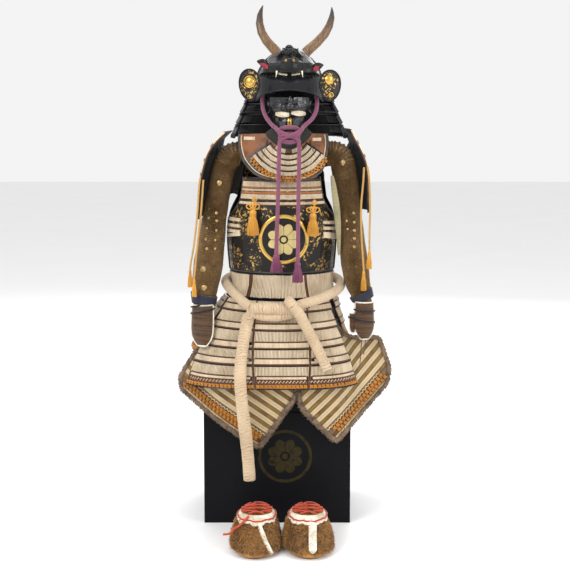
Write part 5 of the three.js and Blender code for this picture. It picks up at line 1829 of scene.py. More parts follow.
@dataclass
class ThighGuards:
    """The two apron guards for the thighs, striped along their lower edge and bound in fur."""

    edges: Sequence[tuple[str, Pair, Pair]] = (
        ("thigh_guard_left", (-0.318, 0.427), (-0.055, 0.246)),
        ("thigh_guard_right", (0.366, 0.448), (0.178, 0.265)),
    )

    cut_length: float = 0.34
    waste: float = 1.12

    def build(self, make: Dresser) -> None:
        """Makes the cloth, its knots and its fur binding."""
        cloth = Haidate().make()
        for number, (node, corner, tip) in enumerate(self.edges):
            start, end = Vector((corner[0], 0, corner[1])), Vector((tip[0], 0, tip[1]))
            along = (end - start).normalized()
            up = Vector((-along.z, 0, along.x)) if number == 0 else Vector((along.z, 0, -along.x))

            def uv(at: Vector, start: Vector = start, along: Vector = along, up: Vector = up) -> Pair:
                """Returns the place along the lower edge and the distance from it."""
                flat = Vector((at.x, 0, at.z)) - start
                return flat.dot(along), flat.dot(up)

            piece = soft_copy(node, node + "_cloth", uv, levels=2)
            settle(piece, cloth, "cream_lacing")
            self.declare(piece)
            skin = Skin(piece)
            self.knots(make, node, skin, start, end, up)
            self.binding(make, node, piece, number)
        apron = soft_copy("thigh_guard_apron", "thigh_guard_apron_cloth", lambda at: (at.x, at.z), levels=1)
        settle(apron, make.paint.black_cloth, "brown_leather")

    def declare(self, piece: bpy.types.Object) -> None:
        """Logs the cloth area of one guard. Declares one guard as a hung sheet: a set length, and the
        width that its area and waste need.
        """
        area = wall_area(piece)
        LOG.info("%s: area %.4f", piece.name, area)

    @staticmethod
    def knots(make: Dresser, node: str, skin: Skin, start: Vector, end: Vector, up: Vector) -> None:
        """Lays the double row of crossed knots along the lower edge."""
        spots, stitches = [], []
        length = (end - start).length
        for row, off in enumerate((0.0245, 0.0365)):
            count = round((length - 0.05) / 0.0125)
            for k in range(count):
                at = start + (end - start) * ((0.028 + k * 0.0125 + row * 0.006) / length) + up * off
                hit = skin.front(at.x, at.z, 0.001)
                if hit:
                    spots.append(Spot(hit[0], hit[1], (end - start).normalized(), 1.0))
        for k in range(round(length / 0.006)):
            at = start + (end - start) * ((0.03 + k * 0.006) / length) + up * 0.0465
            slant = (end - start).normalized() * 0.0026 + up * (0.0026 if k % 2 else -0.0026)
            ends = [skin.front(p.x, p.z, 0.0012) for p in (at - slant, at + slant)]
            if all(ends):
                stitches.append([hit[0] for hit in ends])
        make.repeats.put(node + "_knots", spots, knot_mesh(0.0128, 0.0064), make.paint.orange, "gold_silk",
                         0.05, 4)
        make.cords(node + "_stitches", stitches, 0.0012, make.paint.cream)

    @staticmethod
    def binding(make: Dresser, node: str, piece: bpy.types.Object, number: int) -> None:
        """Binds the free edges in short fur."""
        loop = front_rim(piece, 0.0)
        for part, path in enumerate(runs(loop, lambda p: p.z < 0.60)):
            if len(path) < 4:
                continue
            name = f"{node}_fur_{part}"
            core = link(tube_mesh(name, even(path, 0.006), 0.0068, 8), name)
            hairs = make.repeats.fur(name + "_hair", core, make.paint.grey_fur, "fur", 0.0052, 90000,
                                     lambda p: Vector((0.0, -0.2, -0.8)), 7 + part + number, 0.7)
            solid = link(tube_mesh(name, even(path, 0.006), 0.0068, 8), name)
            solid.data.shade_smooth()
            settle(solid, make.paint.grey_fur, "fur")
            LOG.info("%s: %d", hairs.name, len(hairs.data.polygons))


def even(path: Sequence[Vector], step: float) -> list[Vector]:
    """Returns points an even step apart along a line."""
    out, left = [path[0].copy()], step
    for a, b in zip(path, path[1:]):
        span = (b - a).length
        done = 0.0
        while span - done >= left:
            done += left
            out.append(a.lerp(b, done / span))
            left = step
        left -= span - done
    return out


def runs(loop: Sequence[Vector], keep: Callable[[Vector], bool]) -> list[list[Vector]]:
    """Returns the stretches of a closed line whose points pass the test."""
    count = len(loop)
    start = next((i for i in range(count) if not keep(loop[i])), 0)
    out: list[list[Vector]] = []
    run: list[Vector] = []
    for k in range(count + 1):
        p = loop[(start + k) % count]
        if keep(p):
            run.append(p)
        elif run:
            out.append(run)
            run = []
    if run:
        out.append(run)
    return out


def front_rim(piece: bpy.types.Object, lift: float, pick: Vector = Vector((0, -1, 0))) -> list[Vector]:
    """Returns the edge of the outer side of a cloth wall, as a closed line.

    Args:
        piece: The wall.
        lift: How far the line is moved along pick.
        pick: The direction that the outer side faces.

    Returns:
        The longest such edge.
    """
    build = bmesh.new()
    build.from_mesh(piece.data)
    build.normal_update()
    side = {face for face in build.faces if face.normal.dot(pick) > 0.25}
    edges: dict[int, list[int]] = {}
    for edge in build.edges:
        if sum(1 for face in edge.link_faces if face in side) == 1:
            a, b = (v.index for v in edge.verts)
            edges.setdefault(a, []).append(b)
            edges.setdefault(b, []).append(a)
    places = {v.index: v.co + pick * lift for v in build.verts}
    build.free()
    best: list[int] = []
    seen: set[int] = set()
    for start in sorted(edges):
        if start in seen:
            continue
        walk, at = [start], start
        seen.add(start)
        while True:
            ahead = [n for n in edges[at] if n not in seen]
            if not ahead:
                break
            at = ahead[0]
            seen.add(at)
            walk.append(at)
        if len(walk) > len(best):
            best = walk
    return [places[i] for i in best]


Ring = tuple[float, float, float, float, float]


@dataclass
class Sleeve:
    """One sleeve: cloth cut as a tube, close-set mail rings, small plates and a wrist band."""

    name: str
    side: int
    rings: Sequence[Ring]
    plates: Sequence[Pair]
    big: Sequence[Pair]
    band: Pair

    def shell(self, grow: float, around: int = 44, step: float = 0.008) -> list[list[Vector]]:
        """Returns rings of points along the sleeve, so far outside its cloth."""
        rows = [Vector(r[:3]) / 1000 + BODY for r in self.rings]
        sizes = [Vector((r[3], r[4], 0)) / 1000 for r in self.rings]
        path, spans = [], []
        for i in range(len(rows) - 1):
            parts = max(1, round((rows[i + 1] - rows[i]).length / step))
            for k in range(parts + (i == len(rows) - 2)):
                t = k / parts
                path.append(self.between(rows, i, t))
                spans.append(sizes[i].lerp(sizes[i + 1], t))
        out = []
        for i, (middle, size) in enumerate(zip(path, spans)):
            run = path[min(i + 1, len(path) - 1)] - path[max(i - 1, 0)]
            run = Vector((run.x, 0, run.z)).normalized()
            sideways = Vector((run.z, 0, -run.x))
            ring = []
            for k in range(around):
                turn = math.tau * k / around + math.pi / 2
                fold = 0.0009 * math.sin(i * 0.55 + 2.2 * math.sin(turn * 2)) * math.sin(turn + i * 0.06)
                ring.append(middle + sideways * (size.x + grow + fold) * math.cos(turn)
                            + Vector((0, (size.y + grow + fold) * math.sin(turn), 0)))
            out.append(ring)
        return out

    @staticmethod
    def between(rows: Sequence[Vector], i: int, t: float) -> Vector:
        """Returns the smooth place between two centres."""
        a, b, c, d = rows[max(i - 1, 0)], rows[i], rows[i + 1], rows[min(i + 2, len(rows) - 1)]
        return 0.5 * (2 * b + (c - a) * t + (2 * a - 5 * b + 4 * c - d) * t * t + (3 * b - a - 3 * c + d)
                      * t ** 3)

    def build(self, make: Dresser) -> None:
        """Makes the sleeve."""
        rows = self.shell(-0.0009)
        length = sum((b[0] - a[0]).length for a, b in zip(rows, rows[1:]))
        middle = rows[len(rows) // 2]
        width = sum((middle[(k + 1) % len(middle)] - middle[k]).length for k in range(len(middle)))
        mesh = grid_mesh(self.name + "_cloth", rows, [width * k / len(middle) for k in range(len(middle))],
                         True)
        cloth = link(mesh, self.name + "_cloth")
        face_away(cloth, sum(rows[0], Vector()) / len(rows[0]))
        solidify(cloth, 0.0018, outward=False)
        cloth.data.shade_smooth()
        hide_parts(self.name)
        settle(cloth, make.paint.mail, "mail_cloth")
        LOG.info("%s: flat %.3f by %.3f m", cloth.name, width, length)
        self.mail(make)
        skin = Skin(cloth)
        self.flecks(make, skin)
        self.cuff(make)

    def mail(self, make: Dresser) -> None:
        """Covers the cloth with small rings, each turned half a row from the last."""
        spots = []
        outer = self.shell(0.0006, 44, 0.0066)
        for i in range(1, len(outer) - 1):
            ring = outer[i]
            for k in range(len(ring)):
                a, b = ring[k], ring[(k + 1) % len(ring)]
                at = a.lerp(b, 0.5) if i % 2 else a
                middle = sum((ring[0], ring[len(ring) // 2]), Vector()) / 2
                out = (at - middle).normalized()
                if at.y > middle.y + 0.022:
                    continue
                spots.append(Spot(at, out, (outer[i + 1][k] - outer[i - 1][k]).normalized()))
        build = bmesh.new()
        rings = [[build.verts.new((r * math.cos(math.tau * k / 6), r * math.sin(math.tau * k / 6), h))
                  for k in range(6)] for r, h in ((0.0031, 0.0), (0.0024, 0.0009), (0.0017, 0.0))]
        for n in range(3):
            low, high = rings[n], rings[(n + 1) % 3]
            for k in range(6):
                build.faces.new((low[k], low[(k + 1) % 6], high[(k + 1) % 6], high[k]))
        mesh = bpy.data.meshes.new("mail_ring")
        build.to_mesh(mesh)
        build.free()
        make.repeats.put(self.name + "_mail", spots, mesh, make.paint.rings, "mail_cloth", 0.08, 9)

    def flecks(self, make: Dresser, skin: Skin) -> None:
        """Sews small plates in rows below the elbow, and larger ones where they are given."""
        for label, places, size in (("plates", self.plates, 0.0098), ("guards", self.big, 0.017)):
            spots = []
            for x, z in places:
                hit = skin.front(x, z, 0.0026)
                if hit:
                    spots.append(Spot(hit[0], hit[1], Vector((1, 0, 0))))
            if spots:
                make.repeats.put(f"{self.name}_{label}", spots, dome_mesh(size / 2, size * 0.16, 10),
                                 make.paint.plates, "mail_cloth", 0.08, 3)

    def cuff(self, make: Dresser) -> None:
        """Ties the sleeve's foot with a dark band of wound cotton."""
        rows = self.shell(0.004, 40, 0.004)
        low, high = self.band
        lines = []
        for row in rows:
            z = sum(p.z for p in row) / len(row)
            if low < z < high:
                lines.append([p + Vector((0, 0, self.side * 0.004 * math.sin(math.tau * k / len(row))))
                              for k, p in enumerate(row)] + [row[0]])
        make.cords(self.name + "_band", lines, 0.0034, make.paint.indigo, "mail_cloth", 6)


@dataclass
class HandGuards:
    """The two hand guards: striped brocade plates edged with white hide."""

    sides: Sequence[tuple[str, float, Sequence[Pair]]] = (
        ("left", -0.228, ((0.669, 0.009), (0.650, 0.009))),
        ("right", 0.262, ((0.6525, -0.003), (0.624, -0.010))),
    )

    waste: float = 1.15

    def build(self, make: Dresser) -> None:
        """Makes both guards and the right one's hanging laces."""
        for side, across, wraps in self.sides:
            node = "hand_guard_" + side
            piece = soft_copy(node, node + "_cloth", lambda at: (at.x - at.z * 0.1, at.z + at.x * 0.08),
                              levels=2)
            settle(piece, make.paint.brocade, "mail_cloth")
            low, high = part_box(node)
            rim = even(front_rim(piece, 0.0005) or [low, high], 0.004)
            make.tubes(node + "_edging", [rim + rim[:1]], 0.0026, make.paint.hide, "mail_cloth", 8)
            skin = Skin(piece)
            rows = []
            for share in (0.3, 0.5, 0.7):
                z = lerp(low.z, high.z, share)
                line = [skin.front(lerp(low.x + 0.008, high.x - 0.008, k / 12), z, 0.0008)
                        for k in range(13)]
                rows.append(struck(line))
            make.cords(node + "_ribs", rows, 0.0013, make.paint.smoked, "mail_cloth")
            around = Rows(Skin(piece, bpy.data.objects[f"sleeve_{side}_cloth"]),
                          Vector((across, -0.088, 0)))
            loops = [around.round((0, 360), lambda a, z=z, up=up: z + up * math.sin(math.radians(a)),
                                  0.0028, 6)
                     for z, up in wraps]
            make.cords(node + "_ties", loops, 0.0027, make.paint.dark_braid, "mail_cloth", 8)
        for name, route in (("hand_lace_long",
                             ((258, -146, 573), (256, -150, 545), (254, -152, 514), (252, -152, 481))),
                            ("hand_lace_short",
                             ((269, -145, 573), (268, -149, 552), (266, -150, 536), (264, -150, 521)))):
            FreeCord(name, route, Vector((0, 0, 0)), 0.0013, "bare").build(make.paint.dark_braid,
                                                                           "mail_cloth")


@dataclass
class ShoulderGuards:
    """The hanging shoulder guards with laced lames on their outer side."""

    def build(self, make: Dresser) -> None:
        """Dresses both guards."""
        dress(["shoulder_guard_left", "shoulder_guard_right"], make.paint.matt)
        for side, node in ((-1, "shoulder_guard_left"), (1, "shoulder_guard_right")):
            skin = Skin(node)
            low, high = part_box(node)
            cords, edges, rims = [], [], []
            levels = [lerp(low.z, high.z, k / 6) for k in range(7)]
            for foot, top in zip(levels, levels[1:]):
                for k in range(60):
                    y = lerp(low.y + 0.008, high.y - 0.003, (k + 0.5) / 60)
                    line = []
                    for part in range(3):
                        z = lerp(foot + 0.009, top - 0.001, part / 2)
                        hit = skin.cast(Vector((side * 2, y, z)), Vector((-side, 0, 0)), 0.0012)
                        line.append(hit[0] if hit else None)
                    if all(line):
                        cords.append(line)
                for up in (0.0025, 0.0062):
                    hits = [skin.cast(Vector((side * 2, lerp(low.y, high.y, k / 24), foot + up)),
                                      Vector((-side, 0, 0)), 0.001) for k in range(25)]
                    edges.append(struck(hits))
            for y in (low.y + 0.0012, high.y - 0.0012):
                hits = [skin.cast(Vector((side * 2, y, lerp(low.z, high.z, k / 40))), Vector((-side, 0, 0)),
                                  0)
                        for k in range(1, 40)]
                rims.append(struck(hits))
            make.cords(node + "_lacing", cords, 0.0017, make.paint.cream)
            make.cords(node + "_edges", edges, 0.0019, make.paint.brown)
            make.tubes(node + "_binding", rims, 0.0028, make.paint.smoked, "brown_leather")


@dataclass
class ShadeCloths:
    """The dark cloths, painted shade, that fill the armour's shaded gaps: one below the mask and one inside
    each arm.
    """

    neck: Pair = (0.035, 1.193)
    chin: float = 1.206

    def build(self, make: Dresser) -> None:
        """Hangs the three cloths."""
        self.throat(make)
        self.underarm(make, "underarm_cloth_left", ((1.148, -0.150, -0.084), (0.998, -0.150, -0.122)))
        self.underarm(make, "underarm_cloth_right", ((1.148, 0.186, 0.112), (1.082, 0.186, 0.140)))

    def throat(self, make: Dresser) -> None:
        """Hangs the dark cloth that stands in for the shade between the mask's chin and the throat guard's
        neck edge.
        """
        rows = []
        for r in range(6):
            row = []
            for k in range(33):
                degrees = lerp(-86, 86, k / 32)
                turn = math.radians(degrees)
                reach = 0.053 + 0.024 * (abs(degrees) / 88) ** 3
                x, z = reach * math.sin(turn), self.neck[1] - reach * math.cos(turn)
                low = Vector((self.neck[0] + x, -0.116 - 0.36 * (self.neck[1] - z) + 2.1 * x * x, z))
                high = Vector((0.037 + 0.052 * math.sin(turn), -0.098 + 0.02 * abs(math.sin(turn)),
                               self.chin))
                row.append(low.lerp(high, r / 5))
            rows.append(row)
        self.hang(make, "throat_cloth", rows, "throat_guard_plate")

    def underarm(self, make: Dresser, name: str, ends: Sequence[tuple[float, float, float]]) -> None:
        """Hangs the dark cloth that stands in for the shade between a sleeve and the chest, from its head
        to its foot.

        Args:
            make: What it is built with.
            name: The cloth's name.
            ends: Its head and its foot: height, the arm's side and the chest's side.
        """
        rows = []
        for r in range(9):
            z, arm, chest = (lerp(a, b, r / 8) for a, b in zip(*ends))
            rows.append([Vector((lerp(arm, chest, c / 8), -0.030 - 0.008 * math.sin(math.pi * c / 8),
                                 z + 0.006 * math.sin(math.pi * c / 8))) for c in range(9)])
        self.hang(make, name, rows, "cuirass_front")

    @staticmethod
    def hang(make: Dresser, name: str, rows: Sequence[Sequence[Vector]], rests_on: str) -> None:
        # Painted shade: a dark cloth sheet is put where there is only shade.
        cloth = link(grid_mesh(name, rows), name)
        if cloth.data.polygons[0].normal.y > 0:
            cloth.data.flip_normals()
        solidify(cloth, 0.0016, outward=False)
        cloth.data.shade_smooth()
        settle(cloth, make.paint.black_cloth, "mail_cloth")


# ---------------------------------------------------------------- helmet and mask


@dataclass
class Helmet:
    """The bowl with its ribs and studs, the visor, the neck guard and the turn-backs."""

    foot: float = 1.33

    def build(self, make: Dresser) -> None:
        """Dresses the helmet."""
        dress(["helmet_bowl", "helmet_visor"], make.paint.iron)
        dress(["helmet_neck_guard"], make.paint.matt)
        dress(["helmet_turnback_left", "helmet_turnback_right"], make.paint.turnback)
        self.ribs(make)
        self.visor(make)
        self.neck_guard(make)
        self.turnbacks(make)

    def ribs(self, make: Dresser) -> None:
        """Lays the bowl's upright ribs and its rows of studs."""
        skin = Skin("helmet_bowl")
        ribs, studs = [], []
        for k in range(24):
            turn = math.tau * k / 24
            out = turned_from_front(turn)
            line = []
            for part in range(10):
                up = math.radians(lerp(4, 74, part / 9))
                ahead = -(out * math.cos(up) + Vector((0, 0, math.sin(up))))
                start = Vector((HELMET.x, HELMET.y, self.foot)) - ahead * 0.6
                hit = skin.cast(start, ahead, 0.0006)
                if hit:
                    line.append(hit[0])
            if len(line) > 3:
                ribs.append(line)
            turn += math.tau / 48
            out = turned_from_front(turn)
            for part in range(5):
                up = math.radians(lerp(6, 50, part / 4))
                ahead = -(out * math.cos(up) + Vector((0, 0, math.sin(up))))
                hit = skin.cast(Vector((HELMET.x, HELMET.y, self.foot)) - ahead * 0.6, ahead, 0.0)
                if hit:
                    studs.append(Spot(hit[0], hit[1], Vector((0, 0, 1))))
        make.cords("bowl_ribs", ribs, 0.0016, make.paint.iron, "helmet_iron", 6)
        make.repeats.put("bowl_studs", studs, dome_mesh(0.0032, 0.0034, 8), make.paint.iron, "helmet_iron")

    @staticmethod
    def visor(make: Dresser) -> None:
        """Rolls the visor's edge."""
        skin = Skin("helmet_visor")
        line = []
        for k in range(61):
            x = lerp(-0.066, 0.1385, k / 60)
            inside = next((z for z in (1.34, 1.335, 1.33, 1.325, 1.32, 1.315, 1.31, 1.305, 1.30)
                           if skin.front(x, z)), None)
            if inside is None:
                continue
            high, low = inside, 1.27
            for _ in range(14):
                middle = (high + low) / 2
                if skin.front(x, middle):
                    high = middle
                else:
                    low = middle
            line.append(skin.front(x, high, 0.0004)[0])
        make.tubes("visor_rim", [line], 0.0026, make.paint.iron, "helmet_iron", 8)

    @staticmethod
    def neck_guard(make: Dresser) -> None:
        """Laces the neck guard's lames in dark silk and edges them."""
        rows = Rows(Skin("helmet_neck_guard"), HELMET)
        low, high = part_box("helmet_neck_guard")
        levels = [lerp(low.z + 0.004, high.z - 0.006, k / 5) for k in range(6)]
        cords, edges, tufts = [], [], []
        chance = random.Random(21)
        for foot, top in zip(levels, levels[1:]):
            cords += rows.upright(lambda z: (48, 312), top - 0.002, foot + 0.009, 0.0052, 0.0014, 2, 0.0006,
                                  13)
            edges.append(rows.round((46, 314), foot + 0.004, 0.0012))
        for spot in rows.spots((50, 310), levels[0] + 0.002, 0.006, 0.0):
            if chance.random() < 0.7:
                down = Vector((0, 0, -chance.uniform(0.002, 0.007))) + spot.facing * chance.uniform(0,
                                                                                                    0.004)
                tufts.append([spot.at + Vector((0, 0, 0.006)), spot.at + down * 0.5, spot.at + down])
        make.cords("neck_guard_lacing", cords, 0.0021, make.paint.night, "black_lacquer")
        make.cords("neck_guard_edges", edges, 0.0024, make.paint.black, "black_lacquer", 6)
        make.cords("neck_guard_frays", tufts, 0.0014, make.paint.night, "black_lacquer", 4)

    @staticmethod
    def turnbacks(make: Dresser) -> None:
        """Gives each turn-back its rolled rim, its boss and its ring."""
        rims, rings, bosses = [], [], []
        for node, boss in (("helmet_turnback_left", (-0.081, 1.345)),
                           ("helmet_turnback_right", (0.156, 1.351))):
            skin = Skin(node)
            low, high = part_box(node)
            cx, cz = (low.x + high.x) / 2, (low.z + high.z) / 2
            line = []
            for k in range(61):
                turn = math.tau * k / 60
                near, far = 0.0, 0.09
                for _ in range(16):
                    middle = (near + far) / 2
                    if skin.front(cx + middle * math.cos(turn), cz + middle * math.sin(turn)):
                        near = middle
                    else:
                        far = middle
                hit = skin.front(cx + (near - 0.001) * math.cos(turn), cz + (near - 0.001) * math.sin(turn),
                                 0.0004)
                if hit:
                    line.append(hit[0])
            rims.append(line)
            hit = skin.front(boss[0], boss[1], 0.0006)
            if hit:
                bosses.append(Spot(hit[0], hit[1], Vector((1, 0, 0))))
            place = (0.161, 1.306) if boss[0] > 0 else (boss[0], boss[1])
            size = 0.0065 if boss[0] > 0 else 0.0165
            loop = [skin.front(place[0] + size * math.cos(math.tau * k / 20), place[1] + size
                               * math.sin(math.tau * k / 20),
                               0.0008) for k in range(21)]
            rings.append(struck(loop))
        make.tubes("turnback_rims", rims, 0.0024, make.paint.iron, "helmet_iron", 8)
        make.tubes("turnback_rings", rings, 0.0016, make.paint.brass, "gilt_leather", 8)
        make.repeats.put("turnback_bosses", bosses, dome_mesh(0.0135, 0.0045, 20), make.paint.brass,
                         "gilt_leather")


@dataclass
class BeastHead:
    """The beast's head over the visor: teeth, fangs, eyes, brows, red ears and a curled mane."""

    mouth: tuple[float, float, float] = (-0.002, 0.076, 1.3665)
    eyes: Sequence[Point] = ((0.0265, 1.4065, 0.0062), (0.0505, 1.4065, 0.0062))

    def build(self, make: Dresser) -> None:
        """Dresses the head."""
        dress(["beast_head"], make.paint.beast)
        skin = Skin("beast_head")
        self.teeth(make, skin)
        self.face(make, skin)
        self.ears(make)
        self.mane(make)

    def teeth(self, make: Dresser, skin: Skin) -> None:
        """Sets the row of teeth and the two fangs."""
        left, right, z = self.mouth
        spots = []
        for k in range(15):
            share = (k + 0.5) / 15
            x = lerp(left + 0.007, right - 0.007, share)
            rise = 0.0045 * (2 * share - 1) ** 2
            hit = skin.front(x, z + rise, 0.0016)
            if hit:
                spots.append(Spot(hit[0], Vector((hit[1].x * 0.5, hit[1].y, 0)).normalized(),
                                  Vector((1, 0, 0))))
        make.repeats.put("beast_teeth", spots, plate_mesh(0.0041, 0.0062, 0.003), make.paint.bone, "horn",
                         0.06, 2)
        fangs = []
        for x, tip in ((left + 0.003, -0.003), (right - 0.003, 0.003)):
            hit = skin.front(x, z + 0.010, 0.0022)
            if hit:
                root = hit[0]
                fangs.append([root, root + Vector((tip * 0.4, -0.002, -0.010)), root
                              + Vector((tip, -0.001, -0.019))])
        parts = [link(tube_mesh("fang", curve_points(path, 0.002), lambda t: 0.0028 * (1 - t) + 0.0004, 8),
                      "fang_part")
                 for path in fangs]
        settle(smooth(join("beast_fangs", parts), 60), make.paint.bone, "horn")

    def face(self, make: Dresser, skin: Skin) -> None:
        """Adds the eyes, lips, brow folds and nose wings."""
        spots, lids = [], []
        for x, z, size in self.eyes:
            hit = skin.front(x, z, 0.0004)
            if hit:
                spots.append(Spot(hit[0], hit[1], Vector((1, 0, 0))))
            loop = [skin.front(x + 1.45 * size * math.cos(math.tau * k / 16), z + size
                               * math.sin(math.tau * k / 16), 0.001)
                    for k in range(17)]
            lids.append([h[0] for h in loop if h])
        make.repeats.put("beast_eyes", spots, dome_mesh(0.0058, 0.0036, 12), make.paint.eyes,
                         "gilt_leather")
        left, right, z = self.mouth
        middle = (left + right) / 2
        folds = []
        for off, drop, wide in ((0.0085, 0.005, 1.0), (-0.0062, 0.005, 0.94), (0.017, 0.006, 1.06)):
            line = []
            for k in range(25):
                across = 2 * k / 24 - 1
                hit = skin.front(middle + across * (right - left) / 2 * wide, z + off + drop * across ** 2,
                                 0.0006)
                if hit:
                    line.append(hit[0])
            folds.append(line)
        for x, _, size in self.eyes:
            side = 1 if x > middle else -1
            for row in range(3):
                line = []
                for k in range(13):
                    out = k / 12
                    hit = skin.front(x + side * (out * 0.034 - 0.008), 1.4165 + row * 0.0052 + 0.007
                                     * math.sin(math.pi * out)
                                     - 0.010 * out * out, 0.0004)
                    if hit:
                        line.append(hit[0])
                folds.append(line)
        make.tubes("beast_folds", [line for line in folds if len(line) > 3], 0.0021, make.paint.beast,
                   "black_lacquer", 6)
        make.tubes("beast_eyelids", [line for line in lids if len(line) > 3], 0.0015, make.paint.beast,
                   "black_lacquer", 6)

    @staticmethod
    def ears(make: Dresser) -> None:
        """Paints the ears' insides red."""
        skin = Skin("beast_head")
        parts = []
        for root, tip in ((Vector((-0.026, 0, 1.388)), Vector((-0.055, 0, 1.3985))),
                          (Vector((0.108, 0, 1.382)), Vector((0.136, 0, 1.3875)))):
            rows = []
            run = tip - root
            for k in range(9):
                at = root + run * (k / 8)
                wide = 0.0068 * math.sin(math.pi * min(1.0, 0.25 + 0.75 * k / 8)) + 0.0004
                row = []
                for m in range(5):
                    p = at + Vector((0, 0, (m / 4 - 0.5) * 2 * wide))
                    hit = skin.front(p.x, p.z, 0.0008)
                    row.append(hit[0] if hit else None)
                if all(row):
                    rows.append(row)
            if len(rows) > 2:
                parts.append(front_patch("ear_red", rows, 0.0006))
        if parts:
            settle(smooth(join("beast_ear_insides", parts), 60), make.paint.red, "black_lacquer")

    @staticmethod
    def mane(make: Dresser) -> None:
        """Curls dark hair over the top of the head."""
        skin = Skin("beast_head", "helmet_bowl")
        chance = random.Random(31)
        lines = []
        for _ in range(150):
            x, z = 0.040 + chance.uniform(-0.022, 0.022), 1.43 + chance.uniform(-0.004, 0.012)
            hit = skin.front(x, z, 0.0)
            if not hit:
                continue
            at, turn, curl = hit[0], chance.uniform(0, math.tau), chance.uniform(0.002, 0.0035)
            line = []
            for k in range(7):
                t = k / 6
                line.append(at + Vector((curl * math.cos(turn + t * 5), -0.001 - curl
                                         * (1 - math.cos(t * 5)) * 0.6,
                                         min(0.004 * t + curl * math.sin(turn + t * 5), 1.4445 - at.z))))
            lines.append(line)
        make.cords("beast_mane", lines, 0.0010, make.paint.dark_hair, "black_lacquer", 4)


@dataclass
class Horns:
    """The two great horns."""

    def build(self, make: Dresser) -> None:
        """Dresses the horns."""
        dress(["horn_left", "horn_right"], make.paint.horns)


@dataclass
class Mask:
    """The half mask: moustache, gilt strip on the chin, cheek folds and nose."""

    def build(self, make: Dresser) -> None:
        """Dresses the mask."""
        dress(["face_mask"], make.paint.mask)
        skin = Skin("face_mask")
        parts = []
        for left, right, z, tall in ((-0.003, 0.0365, 1.2505, 0.0078), (0.0425, 0.084, 1.2535, 0.0078)):
            rows = []
            for r in range(5):
                row = []
                for c in range(9):
                    across = c / 8
                    tip = math.sin(math.pi * (0.12 + 0.76 * across)) ** 0.6
                    hit = skin.front(lerp(left, right, across), z + (r / 4 - 0.5) * 2 * tall * tip - 0.002
                                     * across, 0.001)
                    row.append(hit[0] if hit else None)
                if all(row):
                    rows.append(row)
            if len(rows) > 2:
                parts.append(front_patch("moustache", rows, 0.0018))
        if parts:
            settle(smooth(join("mask_moustache", parts), 60), make.paint.bone, "horn")
        strip = [skin.front(0.0375, z / 1000, 0.0008) for z in range(1216, 1240, 2)]
        line = struck(strip)
        if len(line) > 3:
            make.tubes("mask_chin_strip", [line], 0.0055, make.paint.brass, "gilt_leather", 8, 0.3)
        self.nose(make, skin)
        folds = []
        for side in (-1, 1):
            for row in range(4):
                path = []
                for k in range(15):
                    t = k / 14
                    x = 0.038 + side * lerp(0.026 + row * 0.003, 0.056 + row * 0.003, t)
                    z = 1.2865 - row * 0.0058 - 0.016 * t * t
                    hit = skin.front(x, z, 0.0002)
                    if hit:
                        path.append(hit[0])
                folds.append(path)
        make.tubes("mask_folds", [line for line in folds if len(line) > 3], 0.0015, make.paint.mask,
                   "black_lacquer", 6)

    @staticmethod
    def nose(make: Dresser, skin: Skin) -> None:
        """Rounds the nose: its bridge, its tip and both nostrils."""
        build = bmesh.new()
        for x, z, wide, tall, deep in ((0.039, 1.287, 0.0075, 0.016, 0.007),
                                       (0.039, 1.2735, 0.0125, 0.0115, 0.011),
                                       (0.0225, 1.271, 0.0105, 0.0095, 0.009),
                                       (0.0555, 1.271, 0.0105, 0.0095, 0.009)):
            hit = skin.front(x, z)
            if hit:
                for v in bmesh.ops.create_uvsphere(build, u_segments=20, v_segments=12, radius=1)["verts"]:
                    v.co = hit[0] + Vector((v.co.x * wide, v.co.y * deep, v.co.z * tall))
        mesh = bpy.data.meshes.new("mask_nose")
        build.to_mesh(mesh)
        build.free()
        settle(smooth(link(mesh, "mask_nose"), 60), make.paint.mask, "black_lacquer")


# ---------------------------------------------------------------- cords of the helmet and shoulders

CHEEK_LEFT = ((-79, -62, 1336), (-80, -80, 1314), (-81, -96, 1288), (-78, -111, 1262), (-68, -124, 1238),
              (-54, -138, 1220), (-41, -149, 1209))
CHEEK_RIGHT = ((79, -62, 1336), (80, -80, 1314), (83, -95, 1288), (81, -111, 1262), (70, -126, 1238),
               (52, -140, 1221), (39, -149, 1211))
END_LEFT = ((-30, -167, 1163), (-30, -170, 1146), (-31, -172, 1110), (-32, -174, 1060), (-34, -175, 1000),
            (-36, -175, 940), (-38, -175, 880), (-39, -175, 834))
END_RIGHT = ((28, -167, 1163), (29, -170, 1146), (29, -172, 1110), (28, -174, 1060), (27, -175, 1000),
             (26, -175, 930), (26, -175, 870), (25, -175, 811))
SHOULDER_ROUTES = (
    ("shoulder_cord_left_1", ((-246, -110, 1056), (-250, -112, 1020), (-254, -113, 960), (-260, -113, 900),
                              (-268, -113, 842), (-276, -108, 800), (-279, -104, 779)), 56, 8),
    ("shoulder_cord_left_2", ((-236, -110, 1052), (-239, -114, 1010), (-244, -116, 950), (-251, -116, 890),
                              (-258, -116, 830), (-263, -118, 780), (-266, -118, 753)), 58, 8),
    ("shoulder_cord_right_1", ((248, -111, 1090), (245, -114, 1040), (240, -116, 980), (240, -116, 920),
                               (243, -116, 860), (247, -116, 808), (249, -116, 778)), 64, 9),
    ("shoulder_cord_right_2", ((258, -111, 1092), (263, -113, 1060), (266, -114, 1010), (267, -114, 950),
                               (266, -114, 900), (266, -114, 860), (266, -114, 838)), 58, 9),
)


